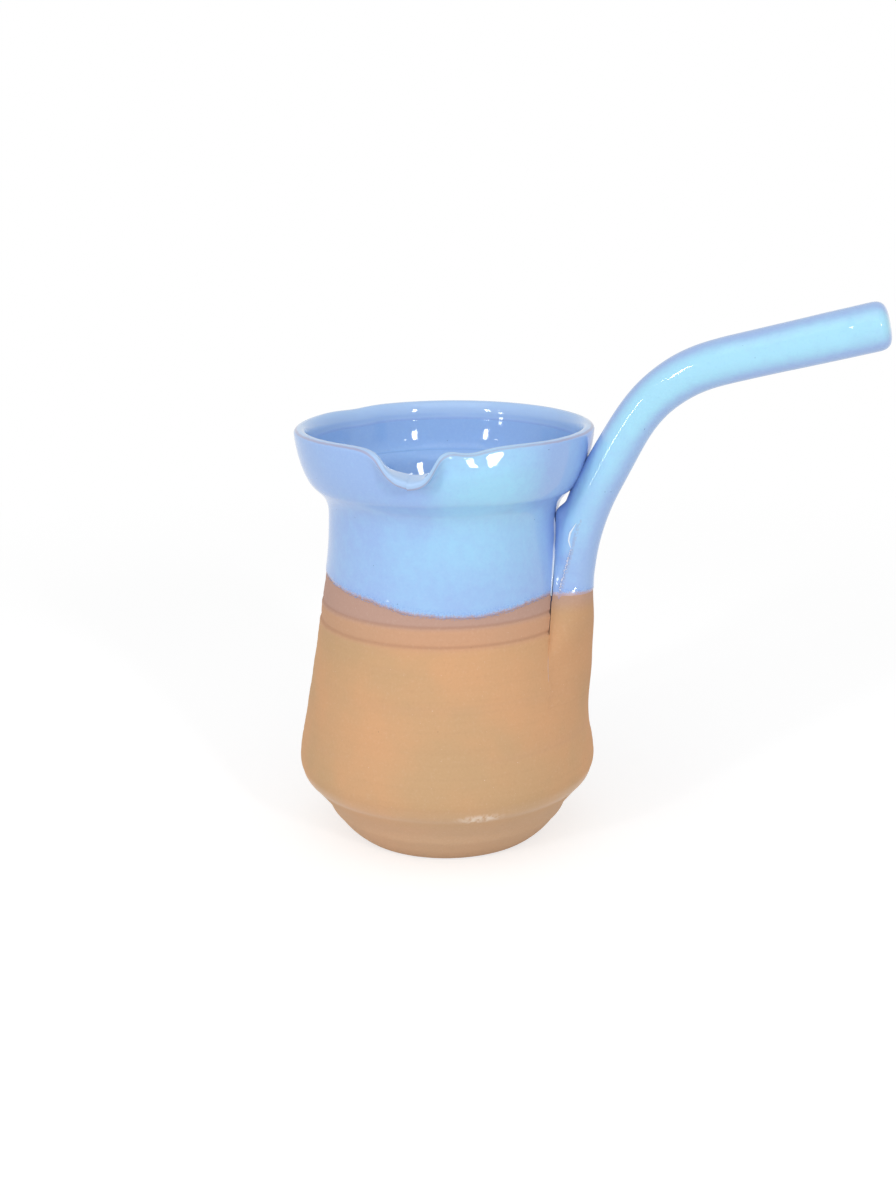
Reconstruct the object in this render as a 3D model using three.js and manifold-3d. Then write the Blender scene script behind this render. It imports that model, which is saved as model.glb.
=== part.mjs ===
// Clay Turkish coffee pot: a thrown pot with a pinched pouring lip, a pulled rod handle luted to
// its wall, and a glaze dip over the top half. Millimetres, +Z up, handle along +X.
// The origin is the middle of the foot, on the surface that the pot stands on.

import * as THREE from 'three';
import { mergeVertices } from 'three/addons/utils/BufferGeometryUtils.js';
import Module from 'manifold-3d';

// Foot and heel
const FOOT_RADIUS = 25.8;
const HEEL_RADIUS = 32.4;
const HEEL_RISE = 7.3;
const FOOT_ROLL = new THREE.Vector2(4.3, 2.9);

// Belly: its widest radius, its rise above the heel, and how full the curve below it is
const BELLY_RADIUS = 41.5;
const BELLY_RISE = 14.9;
const HEEL_SLOPE_LENGTH = 6.3;
const BELLY_FULLNESS = 4.8;
const BELLY_ROUND_RISE = 7.0;
const BELLY_ROUND_INSET = 1.0;

// Neck: its narrowest radius and the length of the long taper up to it
const NECK_RADIUS = 31.25;
const TAPER_LENGTH = 61.8;
const TAPER_SLOPE = 0.19;
const TAPER_FULLNESS = 20.0;
const NECK_STRAIGHT = 12.0;

// Flange and lip
const SHOULDER_RISE = 8.6;
const SHOULDER_OUT = 3.95;
const SHOULDER_FULLNESS = 4.0;
const SHOULDER_SLOPE = 45;
const LIP_RISE = 14.6;
const RIM_RADIUS = 40.0;
const LIP_FULLNESS = 4.7;
const CROWN_RISE = 1.4;

// Pouring lip, pinched out of the rim: its direction, widths along the rim, reach and drop
const SPOUT_ANGLE = -84.5;
const SPOUT_FLOOR_WIDTH = 8.4;
const SPOUT_NEAR_FLANK = 5.0;
const SPOUT_FAR_FLANK = 7.4;
const SPOUT_REACH = 2.3;
const SPOUT_DROP = 7.4;

// Walls, floor and glaze
const WALL = 4.6;
const LIP_WALL = 3.7;
const FLOOR = 6.0;
const FLOOR_FLAT_RADIUS = 18.0;
const GLAZE = 0.5;
const FIT_GAP = 0.3;
const GLAZE_LINE = 72.0;
const LINER_EDGE = 0.8;

// Handle rod: radius over the glaze, the route from its foot to its tip
const ROD_RADIUS = 6.0;
const ROD_PROUD = 7.15;
const ROOT_HEIGHT = 62.0;
const ROOT_LENGTH = 17.0;
const ROOT_DIVE = 2.1;
const LEAN_ANGLE = 61.8;
const ROOT_BEND_RADIUS = 64.6;
const LEG_LENGTH = 16.0;
const GRIP_BEND_RADIUS = 36.0;
const GRIP_RISE = 14.0;
const GRIP_LENGTH = 42.4;
const TIP_ROUNDING = 4.2;
const FLANGE_SEAT = 0.3;

// Luting clay: the slip pad under the rod's foot and the smear worked around it
const PAD_THICKNESS = 1.0;
const PAD_TOP = 84.0;
const SMEAR_BOTTOM = 31.0;
const SMEAR_FADE = 10.0;
const SMEAR_MIDDLE = 50.0;
const SMEAR_BLEND_TOP = 62.0;
const SMEAR_TOP = 76.0;
const SMEAR_HALF_WIDTH = 15.6;

// Facets
const COLUMNS = 56;
const COLUMN_CROWDING = 0.6;
const ROD_SIDES = 18;
const RING_SPACING = 5.0;
const SMEAR_ROWS = 12;
const SMEAR_COLUMNS = 14;
const WELD = 1e-4;

const DEGREE = Math.PI / 180;
const RECESS = GLAZE + FIT_GAP;

const CLAY_COLOUR = new THREE.Color(0.66, 0.38, 0.21);
const LUTING_COLOUR = new THREE.Color(0.62, 0.36, 0.21);
const GLAZE_COLOUR = new THREE.Color(0.38, 0.6, 0.92);
const LINER_COLOUR = new THREE.Color(0.29, 0.5, 0.84);

const wasm = await Module();
wasm.setup();

// Materials
function clayMaterial(color) {
  return new THREE.MeshStandardMaterial({ color, roughness: 0.85, metalness: 0 });
}

function glazeMaterial(color) {
  return new THREE.MeshStandardMaterial({ color, roughness: 0.12, metalness: 0 });
}

// Closed mesh with shared corners and no empty triangles
function weld(geometry) {
  const bare = geometry.clone();
  bare.deleteAttribute('normal');
  bare.deleteAttribute('uv');
  const merged = mergeVertices(bare, WELD);
  const corners = merged.index.array;
  const kept = [];
  for (let i = 0; i < corners.length; i += 3) {
    const [a, b, c] = [corners[i], corners[i + 1], corners[i + 2]];
    if (a !== b && b !== c && c !== a) {
      kept.push(a, b, c);
    }
  }
  merged.setIndex(kept);
  return merged;
}

// Joins and cuts
function solidOf(geometry) {
  const closed = weld(geometry);
  return new wasm.Manifold(new wasm.Mesh({
    numProp: 3,
    vertProperties: new Float32Array(closed.attributes.position.array),
    triVerts: new Uint32Array(closed.index.array),
  }));
}

function geometryOf(solid) {
  const mesh = solid.getMesh();
  const geometry = new THREE.BufferGeometry();
  geometry.setAttribute('position', new THREE.BufferAttribute(mesh.vertProperties, 3));
  geometry.setIndex(new THREE.BufferAttribute(mesh.triVerts, 1));
  return geometry;
}

// Outside of the pot as curves of radius and height, with pinch from 0 at the plain rim to 1 at
// the middle of the pouring lip
function outsideCurves(pinch) {
  const slope = new THREE.Vector2(Math.cos(SHOULDER_SLOPE * DEGREE), Math.sin(SHOULDER_SLOPE * DEGREE));
  const foot = new THREE.Vector2(FOOT_RADIUS, 0);
  const heel = new THREE.Vector2(HEEL_RADIUS, HEEL_RISE);
  const belly = new THREE.Vector2(BELLY_RADIUS, HEEL_RISE + BELLY_RISE);
  const waist = new THREE.Vector2(BELLY_RADIUS - BELLY_ROUND_INSET, belly.y + BELLY_ROUND_RISE);
  const neck = new THREE.Vector2(NECK_RADIUS, waist.y + TAPER_LENGTH);
  const shoulder = new THREE.Vector2(NECK_RADIUS + SHOULDER_OUT, neck.y + SHOULDER_RISE);
  const lip = new THREE.Vector2(RIM_RADIUS, shoulder.y + LIP_RISE);
  const lipHandle = new THREE.Vector2(lip.x, lip.y - LIP_FULLNESS);
  const spout = new THREE.Vector2(RIM_RADIUS + SPOUT_REACH, lip.y - SPOUT_DROP);
  const spoutHandle = spout.clone().addScaledVector(slope, -SPOUT_REACH);
  const up = new THREE.Vector2(0, 1);
  const heelSlope = new THREE.Vector2().subVectors(heel, foot).sub(FOOT_ROLL).normalize();
  const rollHandle = foot.clone().add(FOOT_ROLL);
  const heelHandle = heel.clone().addScaledVector(heelSlope, HEEL_SLOPE_LENGTH);
  const bellyHandle = belly.clone().addScaledVector(up, -BELLY_FULLNESS);
  const roundHandle = belly.clone().addScaledVector(up, BELLY_ROUND_RISE / 2);
  const waistHandle = waist.clone().add(new THREE.Vector2(-TAPER_SLOPE, 1).multiplyScalar(TAPER_FULLNESS));
  const neckHandle = neck.clone().addScaledVector(up, -NECK_STRAIGHT);
  const neckRise = neck.clone().addScaledVector(up, SHOULDER_FULLNESS);
  const shoulderUnder = shoulder.clone().addScaledVector(slope, -SHOULDER_FULLNESS * 0.7);
  const shoulderOver = shoulder.clone().addScaledVector(slope, SHOULDER_FULLNESS * 0.85);
  return {
    roll: new THREE.QuadraticBezierCurve(foot, rollHandle, heel),
    heel: new THREE.CubicBezierCurve(heel, heelHandle, bellyHandle, belly),
    belly: new THREE.QuadraticBezierCurve(belly, roundHandle, waist),
    taper: new THREE.CubicBezierCurve(waist, waistHandle, neckHandle, neck),
    neck: new THREE.CubicBezierCurve(neck, neckRise, shoulderUnder, shoulder),
    flange: new THREE.CubicBezierCurve(
      shoulder,
      shoulderOver,
      lipHandle.lerp(spoutHandle, pinch),
      lip.lerp(spout, pinch),
    ),
  };
}

const LEVEL = outsideCurves(0);

// Parameter at which a rising curve reaches a height
function reach(curve, height) {
  let [low, high] = [0, 1];
  for (let i = 0; i < 40; i += 1) {
    const middle = (low + high) / 2;
    if (curve.getPoint(middle).y < height) {
      low = middle;
    } else {
      high = middle;
    }
  }
  return low;
}

// Radius of the level outside at a height
function outsideRadius(height) {
  const names = ['roll', 'heel', 'belly', 'taper', 'neck', 'flange'];
  const curve = LEVEL[names.find((name) => LEVEL[name].getPoint(1).y >= height) ?? 'flange'];
  return curve.getPoint(reach(curve, height)).x;
}

// Points along a curve from one parameter to another, each moved out along the curve's normal
function along(curve, from, to, steps, outward) {
  return Array.from({ length: steps + 1 }, (_, i) => {
    const t = from + ((to - from) * i) / steps;
    const tangent = curve.getTangent(t);
    const distance = typeof outward === 'function' ? outward(t) : outward;
    return curve.getPoint(t).add(new THREE.Vector2(tangent.y, -tangent.x).multiplyScalar(distance));
  });
}

// Wall thickness, which eases from the neck's to the lip's along the flange
function flangeWall(t) {
  return THREE.MathUtils.lerp(WALL, LIP_WALL, t);
}

// Glazed outside skin above a height, from the bottom up, at a depth under the glaze's surface
function glazedSkin(curves, from, depth) {
  const start = reach(curves.taper, from);
  return [
    ...along(curves.taper, start, 1, 2, -depth).slice(0, -1),
    ...along(curves.neck, 0, 1, 3, -depth).slice(0, -1),
    ...along(curves.flange, 0, 1, 4, -depth),
  ];
}

// Rounded crown of the rim, between the ends of the outside and inside skins at a depth
function crown(curves, depth) {
  const tangent = curves.flange.getTangent(1);
  const inward = new THREE.Vector2(-tangent.y, tangent.x);
  const middle = curves.flange.getPoint(1).addScaledVector(inward, LIP_WALL / 2);
  const arc = new THREE.EllipseCurve(0, 0, LIP_WALL / 2 - depth, CROWN_RISE - depth, 0, Math.PI);
  return arc.getPoints(6).slice(1, -1).map((point) => middle.clone()
    .addScaledVector(inward, -point.x)
    .addScaledVector(tangent, point.y));
}

// Inside skin from one part of the flange down, at a depth into the wall from the inside surface
function insideSkin(curves, from, depth) {
  const heelStart = 0.5;
  const wall = (t) => depth - flangeWall(t);
  const under = along(curves.heel, heelStart, 1, 2, depth - WALL);
  const heelPoint = under[0];
  const heelTangent = curves.heel.getTangent(heelStart);
  const floorHeight = FLOOR - depth;
  const fall = (heelPoint.y - floorHeight) / heelTangent.y;
  const corner = heelPoint.clone().addScaledVector(heelTangent, -fall);
  const floorEdge = new THREE.Vector2(Math.min(FLOOR_FLAT_RADIUS, corner.x - 1), floorHeight);
  const sweep = new THREE.QuadraticBezierCurve(heelPoint, corner, floorEdge);
  return [
    ...along(curves.flange, from, 0, 3, wall).slice(0, -1),
    ...along(curves.neck, 1, 0, 3, depth - WALL).slice(0, -1),
    ...along(curves.taper, 1, 0, 3, depth - WALL).slice(0, -1),
    ...along(curves.belly, 1, 0, 1, depth - WALL).slice(0, -1),
    ...under.reverse().slice(0, -1),
    ...sweep.getPoints(3),
    new THREE.Vector2(0, floorHeight),
  ];
}

// Inside skin of the rim, from the crown down to where the liner glaze starts
function rimInside(curves, depth) {
  return along(curves.flange, 1, LINER_EDGE, 1, (t) => depth - flangeWall(t));
}

// How far the rim is pinched at an angle: 1 on the spout's floor, 0 past its flanks
function pinchAt(angle) {
  const turn = THREE.MathUtils.euclideanModulo(angle - SPOUT_ANGLE * DEGREE + Math.PI, 2 * Math.PI);
  const sideways = (turn - Math.PI) * RIM_RADIUS;
  const flank = sideways > 0 ? SPOUT_NEAR_FLANK : SPOUT_FAR_FLANK;
  const past = (Math.abs(sideways) - SPOUT_FLOOR_WIDTH / 2) / flank + 0.5;
  return 1 - THREE.MathUtils.smoothstep(past, 0, 1.4);
}

// Angle of a column round the pot. Columns crowd together at the spout.
function columnAngle(index) {
  const turn = (index / COLUMNS) * 2 * Math.PI;
  return SPOUT_ANGLE * DEGREE + turn - COLUMN_CROWDING * Math.sin(turn);
}

// Thrown form: a lathed profile whose every column takes the profile for its own pinch
function thrown(profileFor) {
  const level = profileFor(LEVEL);
  const geometry = new THREE.LatheGeometry(level, COLUMNS);
  const position = geometry.attributes.position;
  for (let column = 0; column <= COLUMNS; column += 1) {
    const angle = columnAngle(column % COLUMNS);
    const profile = profileFor(outsideCurves(pinchAt(angle)));
    profile.forEach((point, row) => {
      const at = column * level.length + row;
      position.setXYZ(at, point.x * Math.cos(angle), point.x * Math.sin(angle), point.y);
    });
  }
  return weld(geometry);
}

// Profiles
function potProfile(curves) {
  const line = reach(curves.taper, GLAZE_LINE);
  return [
    new THREE.Vector2(0, 0),
    ...along(curves.roll, 0, 1, 3, 0).slice(0, -1),
    ...along(curves.heel, 0, 1, 5, 0).slice(0, -1),
    ...along(curves.belly, 0, 1, 2, 0).slice(0, -1),
    ...along(curves.taper, 0, line, 4, 0),
    ...glazedSkin(curves, GLAZE_LINE, RECESS),
    ...crown(curves, RECESS),
    ...rimInside(curves, RECESS).slice(0, -1),
    ...insideSkin(curves, LINER_EDGE, RECESS),
  ];
}

function dipProfile(curves) {
  const start = GLAZE_LINE + FIT_GAP;
  const face = [...glazedSkin(curves, start, 0), ...crown(curves, 0), ...rimInside(curves, 0)];
  const back = [...glazedSkin(curves, start, GLAZE), ...crown(curves, GLAZE), ...rimInside(curves, GLAZE)];
  return [...face, ...back.reverse(), face[0].clone()];
}

function linerProfile(curves) {
  const from = LINER_EDGE - FIT_GAP / LIP_RISE;
  return [...insideSkin(curves, from, GLAZE).reverse(), ...insideSkin(curves, from, 0)];
}

// Solid of the clay wall below the flange, grown outwards, for cutting what is luted to it
function wallCutter(growth) {
  const line = reach(LEVEL.taper, GLAZE_LINE);
  const profile = [
    new THREE.Vector2(0, 0),
    ...along(LEVEL.heel, 0, 1, 5, growth).slice(0, -1),
    ...along(LEVEL.belly, 0, 1, 2, growth).slice(0, -1),
    ...along(LEVEL.taper, 0, line, 4, growth),
    ...along(LEVEL.taper, line, 1, 2, growth - RECESS),
    new THREE.Vector2(0, LEVEL.taper.getPoint(1).y),
  ];
  return solidOf(thrown(() => profile));
}

// Route of the rod's centre line in the handle's plane, as distance from the axis and height
function handleRoute() {
  const lean = LEAN_ANGLE * DEGREE;
  const rise = GRIP_RISE * DEGREE;
  const away = new THREE.Vector2(Math.sin(lean), -Math.cos(lean));
  const flange = [...along(LEVEL.neck, 0, 1, 20, 0), ...along(LEVEL.flange, 0, 1, 20, 0)];
  const support = Math.max(...flange.map((point) => point.dot(away)));
  const legOffset = support + ROD_RADIUS - FLANGE_SEAT;
  const rootRadius = outsideRadius(ROOT_HEIGHT) + ROD_PROUD - ROD_RADIUS;
  const rootCorner = (rootRadius * Math.sin(lean) - legOffset) / Math.cos(lean);
  const rootTurn = Math.PI / 2 - lean;
  const rootTangent = ROOT_BEND_RADIUS * Math.tan(rootTurn / 2);
  const bendStart = new THREE.Vector2(rootRadius, rootCorner - rootTangent);
  const rootCentre = new THREE.Vector2(rootRadius + ROOT_BEND_RADIUS, bendStart.y);
  const legStart = rootCentre.clone().addScaledVector(away, -ROOT_BEND_RADIUS);
  const legDirection = new THREE.Vector2(Math.cos(lean), Math.sin(lean));
  const legEnd = legStart.clone().addScaledVector(legDirection, LEG_LENGTH);
  const gripCentre = legEnd.clone().addScaledVector(away, GRIP_BEND_RADIUS);
  const gripDirection = new THREE.Vector2(Math.cos(rise), Math.sin(rise));
  const gripAway = new THREE.Vector2(Math.sin(rise), -Math.cos(rise));
  const gripStart = gripCentre.clone().addScaledVector(gripAway, -GRIP_BEND_RADIUS);
  const rootEnd = new THREE.Vector2(rootRadius, ROOT_HEIGHT);
  const foot = new THREE.Vector2(rootRadius - ROOT_DIVE, ROOT_HEIGHT - ROOT_LENGTH);
  const footHandle = new THREE.Vector2(rootRadius, ROOT_HEIGHT - ROOT_LENGTH / 2);
  const route = new THREE.CurvePath();
  route.add(new THREE.QuadraticBezierCurve(foot, footHandle, rootEnd));
  route.add(new THREE.LineCurve(rootEnd, bendStart));
  route.add(arcFrom(rootCentre, ROOT_BEND_RADIUS, Math.PI, Math.PI / 2 + lean));
  route.add(new THREE.LineCurve(legStart, legEnd));
  route.add(arcFrom(gripCentre, GRIP_BEND_RADIUS, Math.PI / 2 + lean, Math.PI / 2 + rise));
  route.add(new THREE.LineCurve(gripStart, gripStart.clone().addScaledVector(gripDirection, GRIP_LENGTH)));
  return route;
}

function arcFrom(centre, radius, start, end) {
  return new THREE.EllipseCurve(centre.x, centre.y, radius, radius, start, end, true);
}

const ROUTE = handleRoute();
const ROUTE_LENGTH = ROUTE.getLength();

// Distance along the route at which the rod's centre reaches a height
function routeAt(height) {
  return reach(ROUTE, height) * ROUTE_LENGTH;
}

// Side of the rod as radius and distance, with a ring at every step of the route
function rodSide(radius, from, to) {
  const rings = [from];
  for (let ring = RING_SPACING; ring < to - 1; ring += RING_SPACING) {
    if (ring > from + 1) {
      rings.push(ring);
    }
  }
  return [...rings, to].map((distance) => new THREE.Vector2(radius, distance));
}

// Rounded tip of the rod, from its side to its middle
function rodTip(radius, end) {
  const side = new THREE.Vector2(radius, end - TIP_ROUNDING);
  const corner = new THREE.Vector2(radius, end);
  const flat = new THREE.Vector2(radius / 2, end);
  return new THREE.CubicBezierCurve(side, corner, flat, new THREE.Vector2(0, end)).getPoints(5).slice(1);
}

// Rod form: a lathed profile whose axis is then laid along the handle's route
function bentRod(profile) {
  const geometry = new THREE.LatheGeometry(profile, ROD_SIDES);
  const position = geometry.attributes.position;
  for (let i = 0; i < position.count; i += 1) {
    const share = THREE.MathUtils.clamp(position.getY(i) / ROUTE_LENGTH, 0, 1);
    const centre = ROUTE.getPoint(share);
    const direction = ROUTE.getTangent(share);
    const outward = position.getX(i);
    const sideways = -position.getZ(i);
    position.setXYZ(i, centre.x + direction.y * outward, sideways, centre.y - direction.x * outward);
  }
  return weld(geometry);
}

// Clay rod, grown outwards: full size below the glaze line, and under the glaze above it
function clayRod(growth, end) {
  const line = routeAt(GLAZE_LINE) + growth;
  const core = ROD_RADIUS - RECESS + growth;
  const tip = end === undefined
    ? [...rodSide(core, line, ROUTE_LENGTH - RECESS - TIP_ROUNDING), ...rodTip(core, ROUTE_LENGTH - RECESS)]
    : [...rodSide(core, line, end), new THREE.Vector2(0, end)];
  return solidOf(bentRod([
    new THREE.Vector2(0, 0),
    ...rodSide(ROD_RADIUS + growth, 0, line),
    ...tip,
  ]));
}

// Whole glazed rod as one solid, grown outwards, up to a height past the flange
function glazedRod(growth) {
  const end = routeAt(LEVEL.flange.getPoint(1).y + CROWN_RISE + ROD_RADIUS);
  return solidOf(bentRod([
    new THREE.Vector2(0, 0),
    ...rodSide(ROD_RADIUS + growth, 0, end),
    new THREE.Vector2(0, end),
  ]));
}

// Half width of the smear at a height: the rod's at its top, widest at its middle, a rounded
// tongue at its bottom
function smearHalfWidth(height) {
  if (height < SMEAR_MIDDLE) {
    const down = (SMEAR_MIDDLE - height) / (SMEAR_MIDDLE - SMEAR_BOTTOM);
    return SMEAR_HALF_WIDTH * Math.sqrt(1 - down * down);
  }
  const up = (height - SMEAR_MIDDLE) / (SMEAR_TOP - SMEAR_MIDDLE);
  return THREE.MathUtils.lerp(SMEAR_HALF_WIDTH, ROD_RADIUS, up * up);
}

// How far the smear stands out of the wall, at a share of its half width and a height
function smearStand(share, height) {
  const crest = outsideRadius(ROOT_HEIGHT) + ROD_PROUD - FIT_GAP - outsideRadius(height);
  const fade = THREE.MathUtils.smoothstep(height, SMEAR_BOTTOM, SMEAR_BOTTOM + SMEAR_FADE);
  const blend = THREE.MathUtils.smoothstep(height, SMEAR_MIDDLE, SMEAR_BLEND_TOP);
  const inside = Math.max(0, 1 - share * share);
  return Math.max(0, crest) * fade * THREE.MathUtils.lerp(inside, Math.sqrt(inside), blend);
}

// Smear as a closed pillow over the wall, sunk into it behind, for cutting to the wall
function smearPillow() {
  const top = GLAZE_LINE - FIT_GAP;
  const vertices = [];
  const corners = [];
  for (const sunk of [true, false]) {
    for (let row = 0; row <= SMEAR_ROWS; row += 1) {
      const height = THREE.MathUtils.lerp(SMEAR_BOTTOM + FIT_GAP, top, row / SMEAR_ROWS);
      const wall = outsideRadius(height);
      for (let column = 0; column <= SMEAR_COLUMNS; column += 1) {
        const share = Math.sin((column / SMEAR_COLUMNS - 0.5) * Math.PI);
        const angle = (share * smearHalfWidth(height)) / wall;
        const radius = sunk ? wall - WALL / 2 : wall + smearStand(share, height);
        vertices.push(radius * Math.cos(angle), radius * Math.sin(angle), height);
      }
    }
  }
  const span = SMEAR_COLUMNS + 1;
  const front = (SMEAR_ROWS + 1) * span;
  const quad = (a, b, c, d) => corners.push(a, b, c, a, c, d);
  for (let row = 0; row < SMEAR_ROWS; row += 1) {
    for (let column = 0; column < SMEAR_COLUMNS; column += 1) {
      const at = row * span + column;
      quad(front + at, front + at + 1, front + at + span + 1, front + at + span);
      quad(at, at + span, at + span + 1, at + 1);
    }
    const left = row * span;
    const right = left + SMEAR_COLUMNS;
    quad(left, front + left, front + left + span, left + span);
    quad(right, right + span, front + right + span, front + right);
  }
  for (let column = 0; column < SMEAR_COLUMNS; column += 1) {
    const head = SMEAR_ROWS * span + column;
    quad(column, column + 1, front + column + 1, front + column);
    quad(head, front + head, front + head + 1, head + 1);
  }
  const geometry = new THREE.BufferGeometry();
  geometry.setAttribute('position', new THREE.Float32BufferAttribute(vertices, 3));
  geometry.setIndex(corners);
  return solidOf(geometry);
}

// Pieces
function potBody() {
  return new THREE.Mesh(thrown(potProfile), clayMaterial(CLAY_COLOUR));
}

function handle() {
  const seat = wallCutter(PAD_THICKNESS + 2 * FIT_GAP);
  return new THREE.Mesh(geometryOf(clayRod(0).subtract(seat)), clayMaterial(CLAY_COLOUR));
}

function lutingClay() {
  const pad = clayRod(0, routeAt(PAD_TOP));
  const rodRoom = clayRod(FIT_GAP, routeAt(PAD_TOP) + RING_SPACING)
    .subtract(wallCutter(PAD_THICKNESS + FIT_GAP));
  const smear = smearPillow().add(pad).subtract(wallCutter(FIT_GAP)).subtract(rodRoom);
  return new THREE.Mesh(geometryOf(smear), clayMaterial(LUTING_COLOUR));
}

function linerGlaze() {
  return new THREE.Mesh(thrown(linerProfile), glazeMaterial(LINER_COLOUR));
}

function dipGlaze() {
  const coat = solidOf(thrown(dipProfile)).subtract(glazedRod(FIT_GAP));
  return new THREE.Mesh(geometryOf(coat), glazeMaterial(GLAZE_COLOUR));
}

function handleGlaze() {
  const start = routeAt(GLAZE_LINE) + FIT_GAP;
  const side = ROUTE_LENGTH - TIP_ROUNDING;
  const inner = ROD_RADIUS - GLAZE;
  const face = [...rodSide(ROD_RADIUS, start, side), ...rodTip(ROD_RADIUS, ROUTE_LENGTH)];
  const back = [...rodSide(inner, start, side - GLAZE), ...rodTip(inner, ROUTE_LENGTH - GLAZE)];
  const sheath = solidOf(bentRod([...face, ...back.reverse(), face[0].clone()]));
  return new THREE.Mesh(geometryOf(sheath.subtract(wallCutter(FIT_GAP))), glazeMaterial(GLAZE_COLOUR));
}

const pieces = {
  pot_body: potBody(),
  handle: handle(),
  luting_clay: lutingClay(),
  liner_glaze: linerGlaze(),
  dip_glaze: dipGlaze(),
  handle_glaze: handleGlaze(),
};

const coffeePot = new THREE.Group();
for (const [name, piece] of Object.entries(pieces)) {
  piece.name = name;
  coffeePot.add(piece);
}

export default coffeePot;
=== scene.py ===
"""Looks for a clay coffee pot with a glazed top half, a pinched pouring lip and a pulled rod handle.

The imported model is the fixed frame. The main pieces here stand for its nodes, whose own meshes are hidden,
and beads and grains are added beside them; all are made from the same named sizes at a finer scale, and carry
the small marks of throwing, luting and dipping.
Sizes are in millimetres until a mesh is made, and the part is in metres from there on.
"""

import logging
import math
from collections.abc import Sequence
from dataclasses import dataclass, field
from enum import Enum

import bmesh
import bpy
import numpy as np
from mathutils import Matrix, Vector


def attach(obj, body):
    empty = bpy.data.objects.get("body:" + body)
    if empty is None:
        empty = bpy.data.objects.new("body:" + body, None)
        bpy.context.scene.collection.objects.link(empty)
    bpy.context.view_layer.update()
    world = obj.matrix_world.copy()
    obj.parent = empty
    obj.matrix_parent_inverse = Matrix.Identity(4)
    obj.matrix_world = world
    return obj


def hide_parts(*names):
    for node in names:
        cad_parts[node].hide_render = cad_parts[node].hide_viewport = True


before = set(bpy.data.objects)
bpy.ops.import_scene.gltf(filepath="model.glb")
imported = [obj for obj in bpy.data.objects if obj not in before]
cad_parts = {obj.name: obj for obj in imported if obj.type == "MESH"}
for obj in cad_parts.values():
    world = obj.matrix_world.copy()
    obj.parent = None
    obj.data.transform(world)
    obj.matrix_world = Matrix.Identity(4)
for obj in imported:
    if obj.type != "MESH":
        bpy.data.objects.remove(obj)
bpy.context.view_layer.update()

LOG = logging.getLogger("coffee_pot")
PHOTO_SIZE = (896, 1196)
BEAD_SIDES = 12

# Lengths in metres: a millimetre, the gap that is welded, what counts as no length, a bead's waver.
MM, WELD, NO_LENGTH, BEAD_WOBBLE = 0.001, 2e-6, 1e-7, 0.00006

# Short names for types.
Array = np.ndarray
Values = np.ndarray | float
Piece = bpy.types.Object
Material = bpy.types.Material
Tree = bpy.types.NodeTree
Node = bpy.types.Node
Socket = bpy.types.NodeSocket
Pair = tuple[float, float]
Triple = tuple[float, float, float]
Four = tuple[float, float, float, float]
Colour = tuple[float, float, float]
Span = tuple[float, float, int]
Lobe = tuple[int, float, float]

# Stations along the outside: the number of one of its six curves, plus the share along it.
INNER_HEEL, TAPER, SHOULDER, FLANGE, LIP = 1.5, 3.0, 4.0, 5.0, 6.0


class Slot(Enum):
    """Names of the record's material slots, passed with each piece but not used."""

    CLAY = "bare_clay"
    LUTING = "luting_clay"
    LINER = "liner_glaze"
    DIP = "dip_glaze"


class Side(Enum):
    """The two sides of the handle's plane."""

    LIP = -1.0
    BACK = 1.0


# ---- small maths


def ease(value: Values, low: float, high: float) -> Array:
    """Smooth step from 0 at low to 1 at high.

    Args:
        value: Where to read the step.
        low: Value at which it leaves 0.
        high: Value at which it reaches 1.

    Returns:
        The step, with the shape of value.
    """
    share = np.clip((np.asarray(value, float) - low) / (high - low), 0.0, 1.0)
    return share * share * (3.0 - 2.0 * share)


def blend(start: Values, end: Values, share: Values) -> Array:
    """Straight blend from start to end."""
    return np.asarray(start) + (np.asarray(end) - np.asarray(start)) * share


def waves(angle: Array, lobes: Sequence[Lobe]) -> Array:
    """Sum of waves round the pot.

    Args:
        angle: Angles in radians.
        lobes: Number of lobes, height and phase of each wave.

    Returns:
        The sum at each angle.
    """
    return sum(height * np.cos(count * angle + phase) for count, height, phase in lobes)


def hump(value: Values, at: float, width: float, power: int = 2) -> Array:
    """Soft hump, 1 at a value and nearly 0 two widths off it; a higher power makes it flatter on top."""
    return np.exp(-(((value - at) / width) ** power))


def wrapped(degrees: Array) -> Array:
    """Angles brought within half a turn of 0."""
    return (degrees + 180.0) % 360.0 - 180.0


def spans(*parts: Span) -> Array:
    """Evenly spaced values over several parts in turn.

    Args:
        parts: Start, end and number of values of each part.

    Returns:
        The values, with those that end one part and start the next given once.
    """
    values = np.concatenate([np.linspace(*part) for part in parts])
    return values[np.append(True, np.diff(values) != 0)]


def arc(hub: Array, radius: float, start: float, end: float, share: Array) -> Array:
    """Points round a hub, at shares of the way between two angles in radians."""
    angle = start + (end - start) * share[:, 0]
    return hub + radius * np.stack([np.cos(angle), np.sin(angle)], axis=-1)


# ---- meshes


def linked(name: str, data: bpy.types.ID) -> Piece:
    """Makes an object at the origin and puts it in the scene.

    Args:
        name: Name of the object.
        data: Its mesh, lamp or camera.

    Returns:
        The object.
    """
    piece = bpy.data.objects.new(name, data)
    bpy.context.scene.collection.objects.link(piece)
    return piece


def set_mark(mesh: bpy.types.Mesh, name: str, values: Array) -> None:
    """Stores a number for each point of a mesh, under a name that finishes and trees read."""
    mesh.attributes.new(name, "FLOAT", "POINT").data.foreach_set("value", values.ravel().astype(np.float32))


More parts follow.
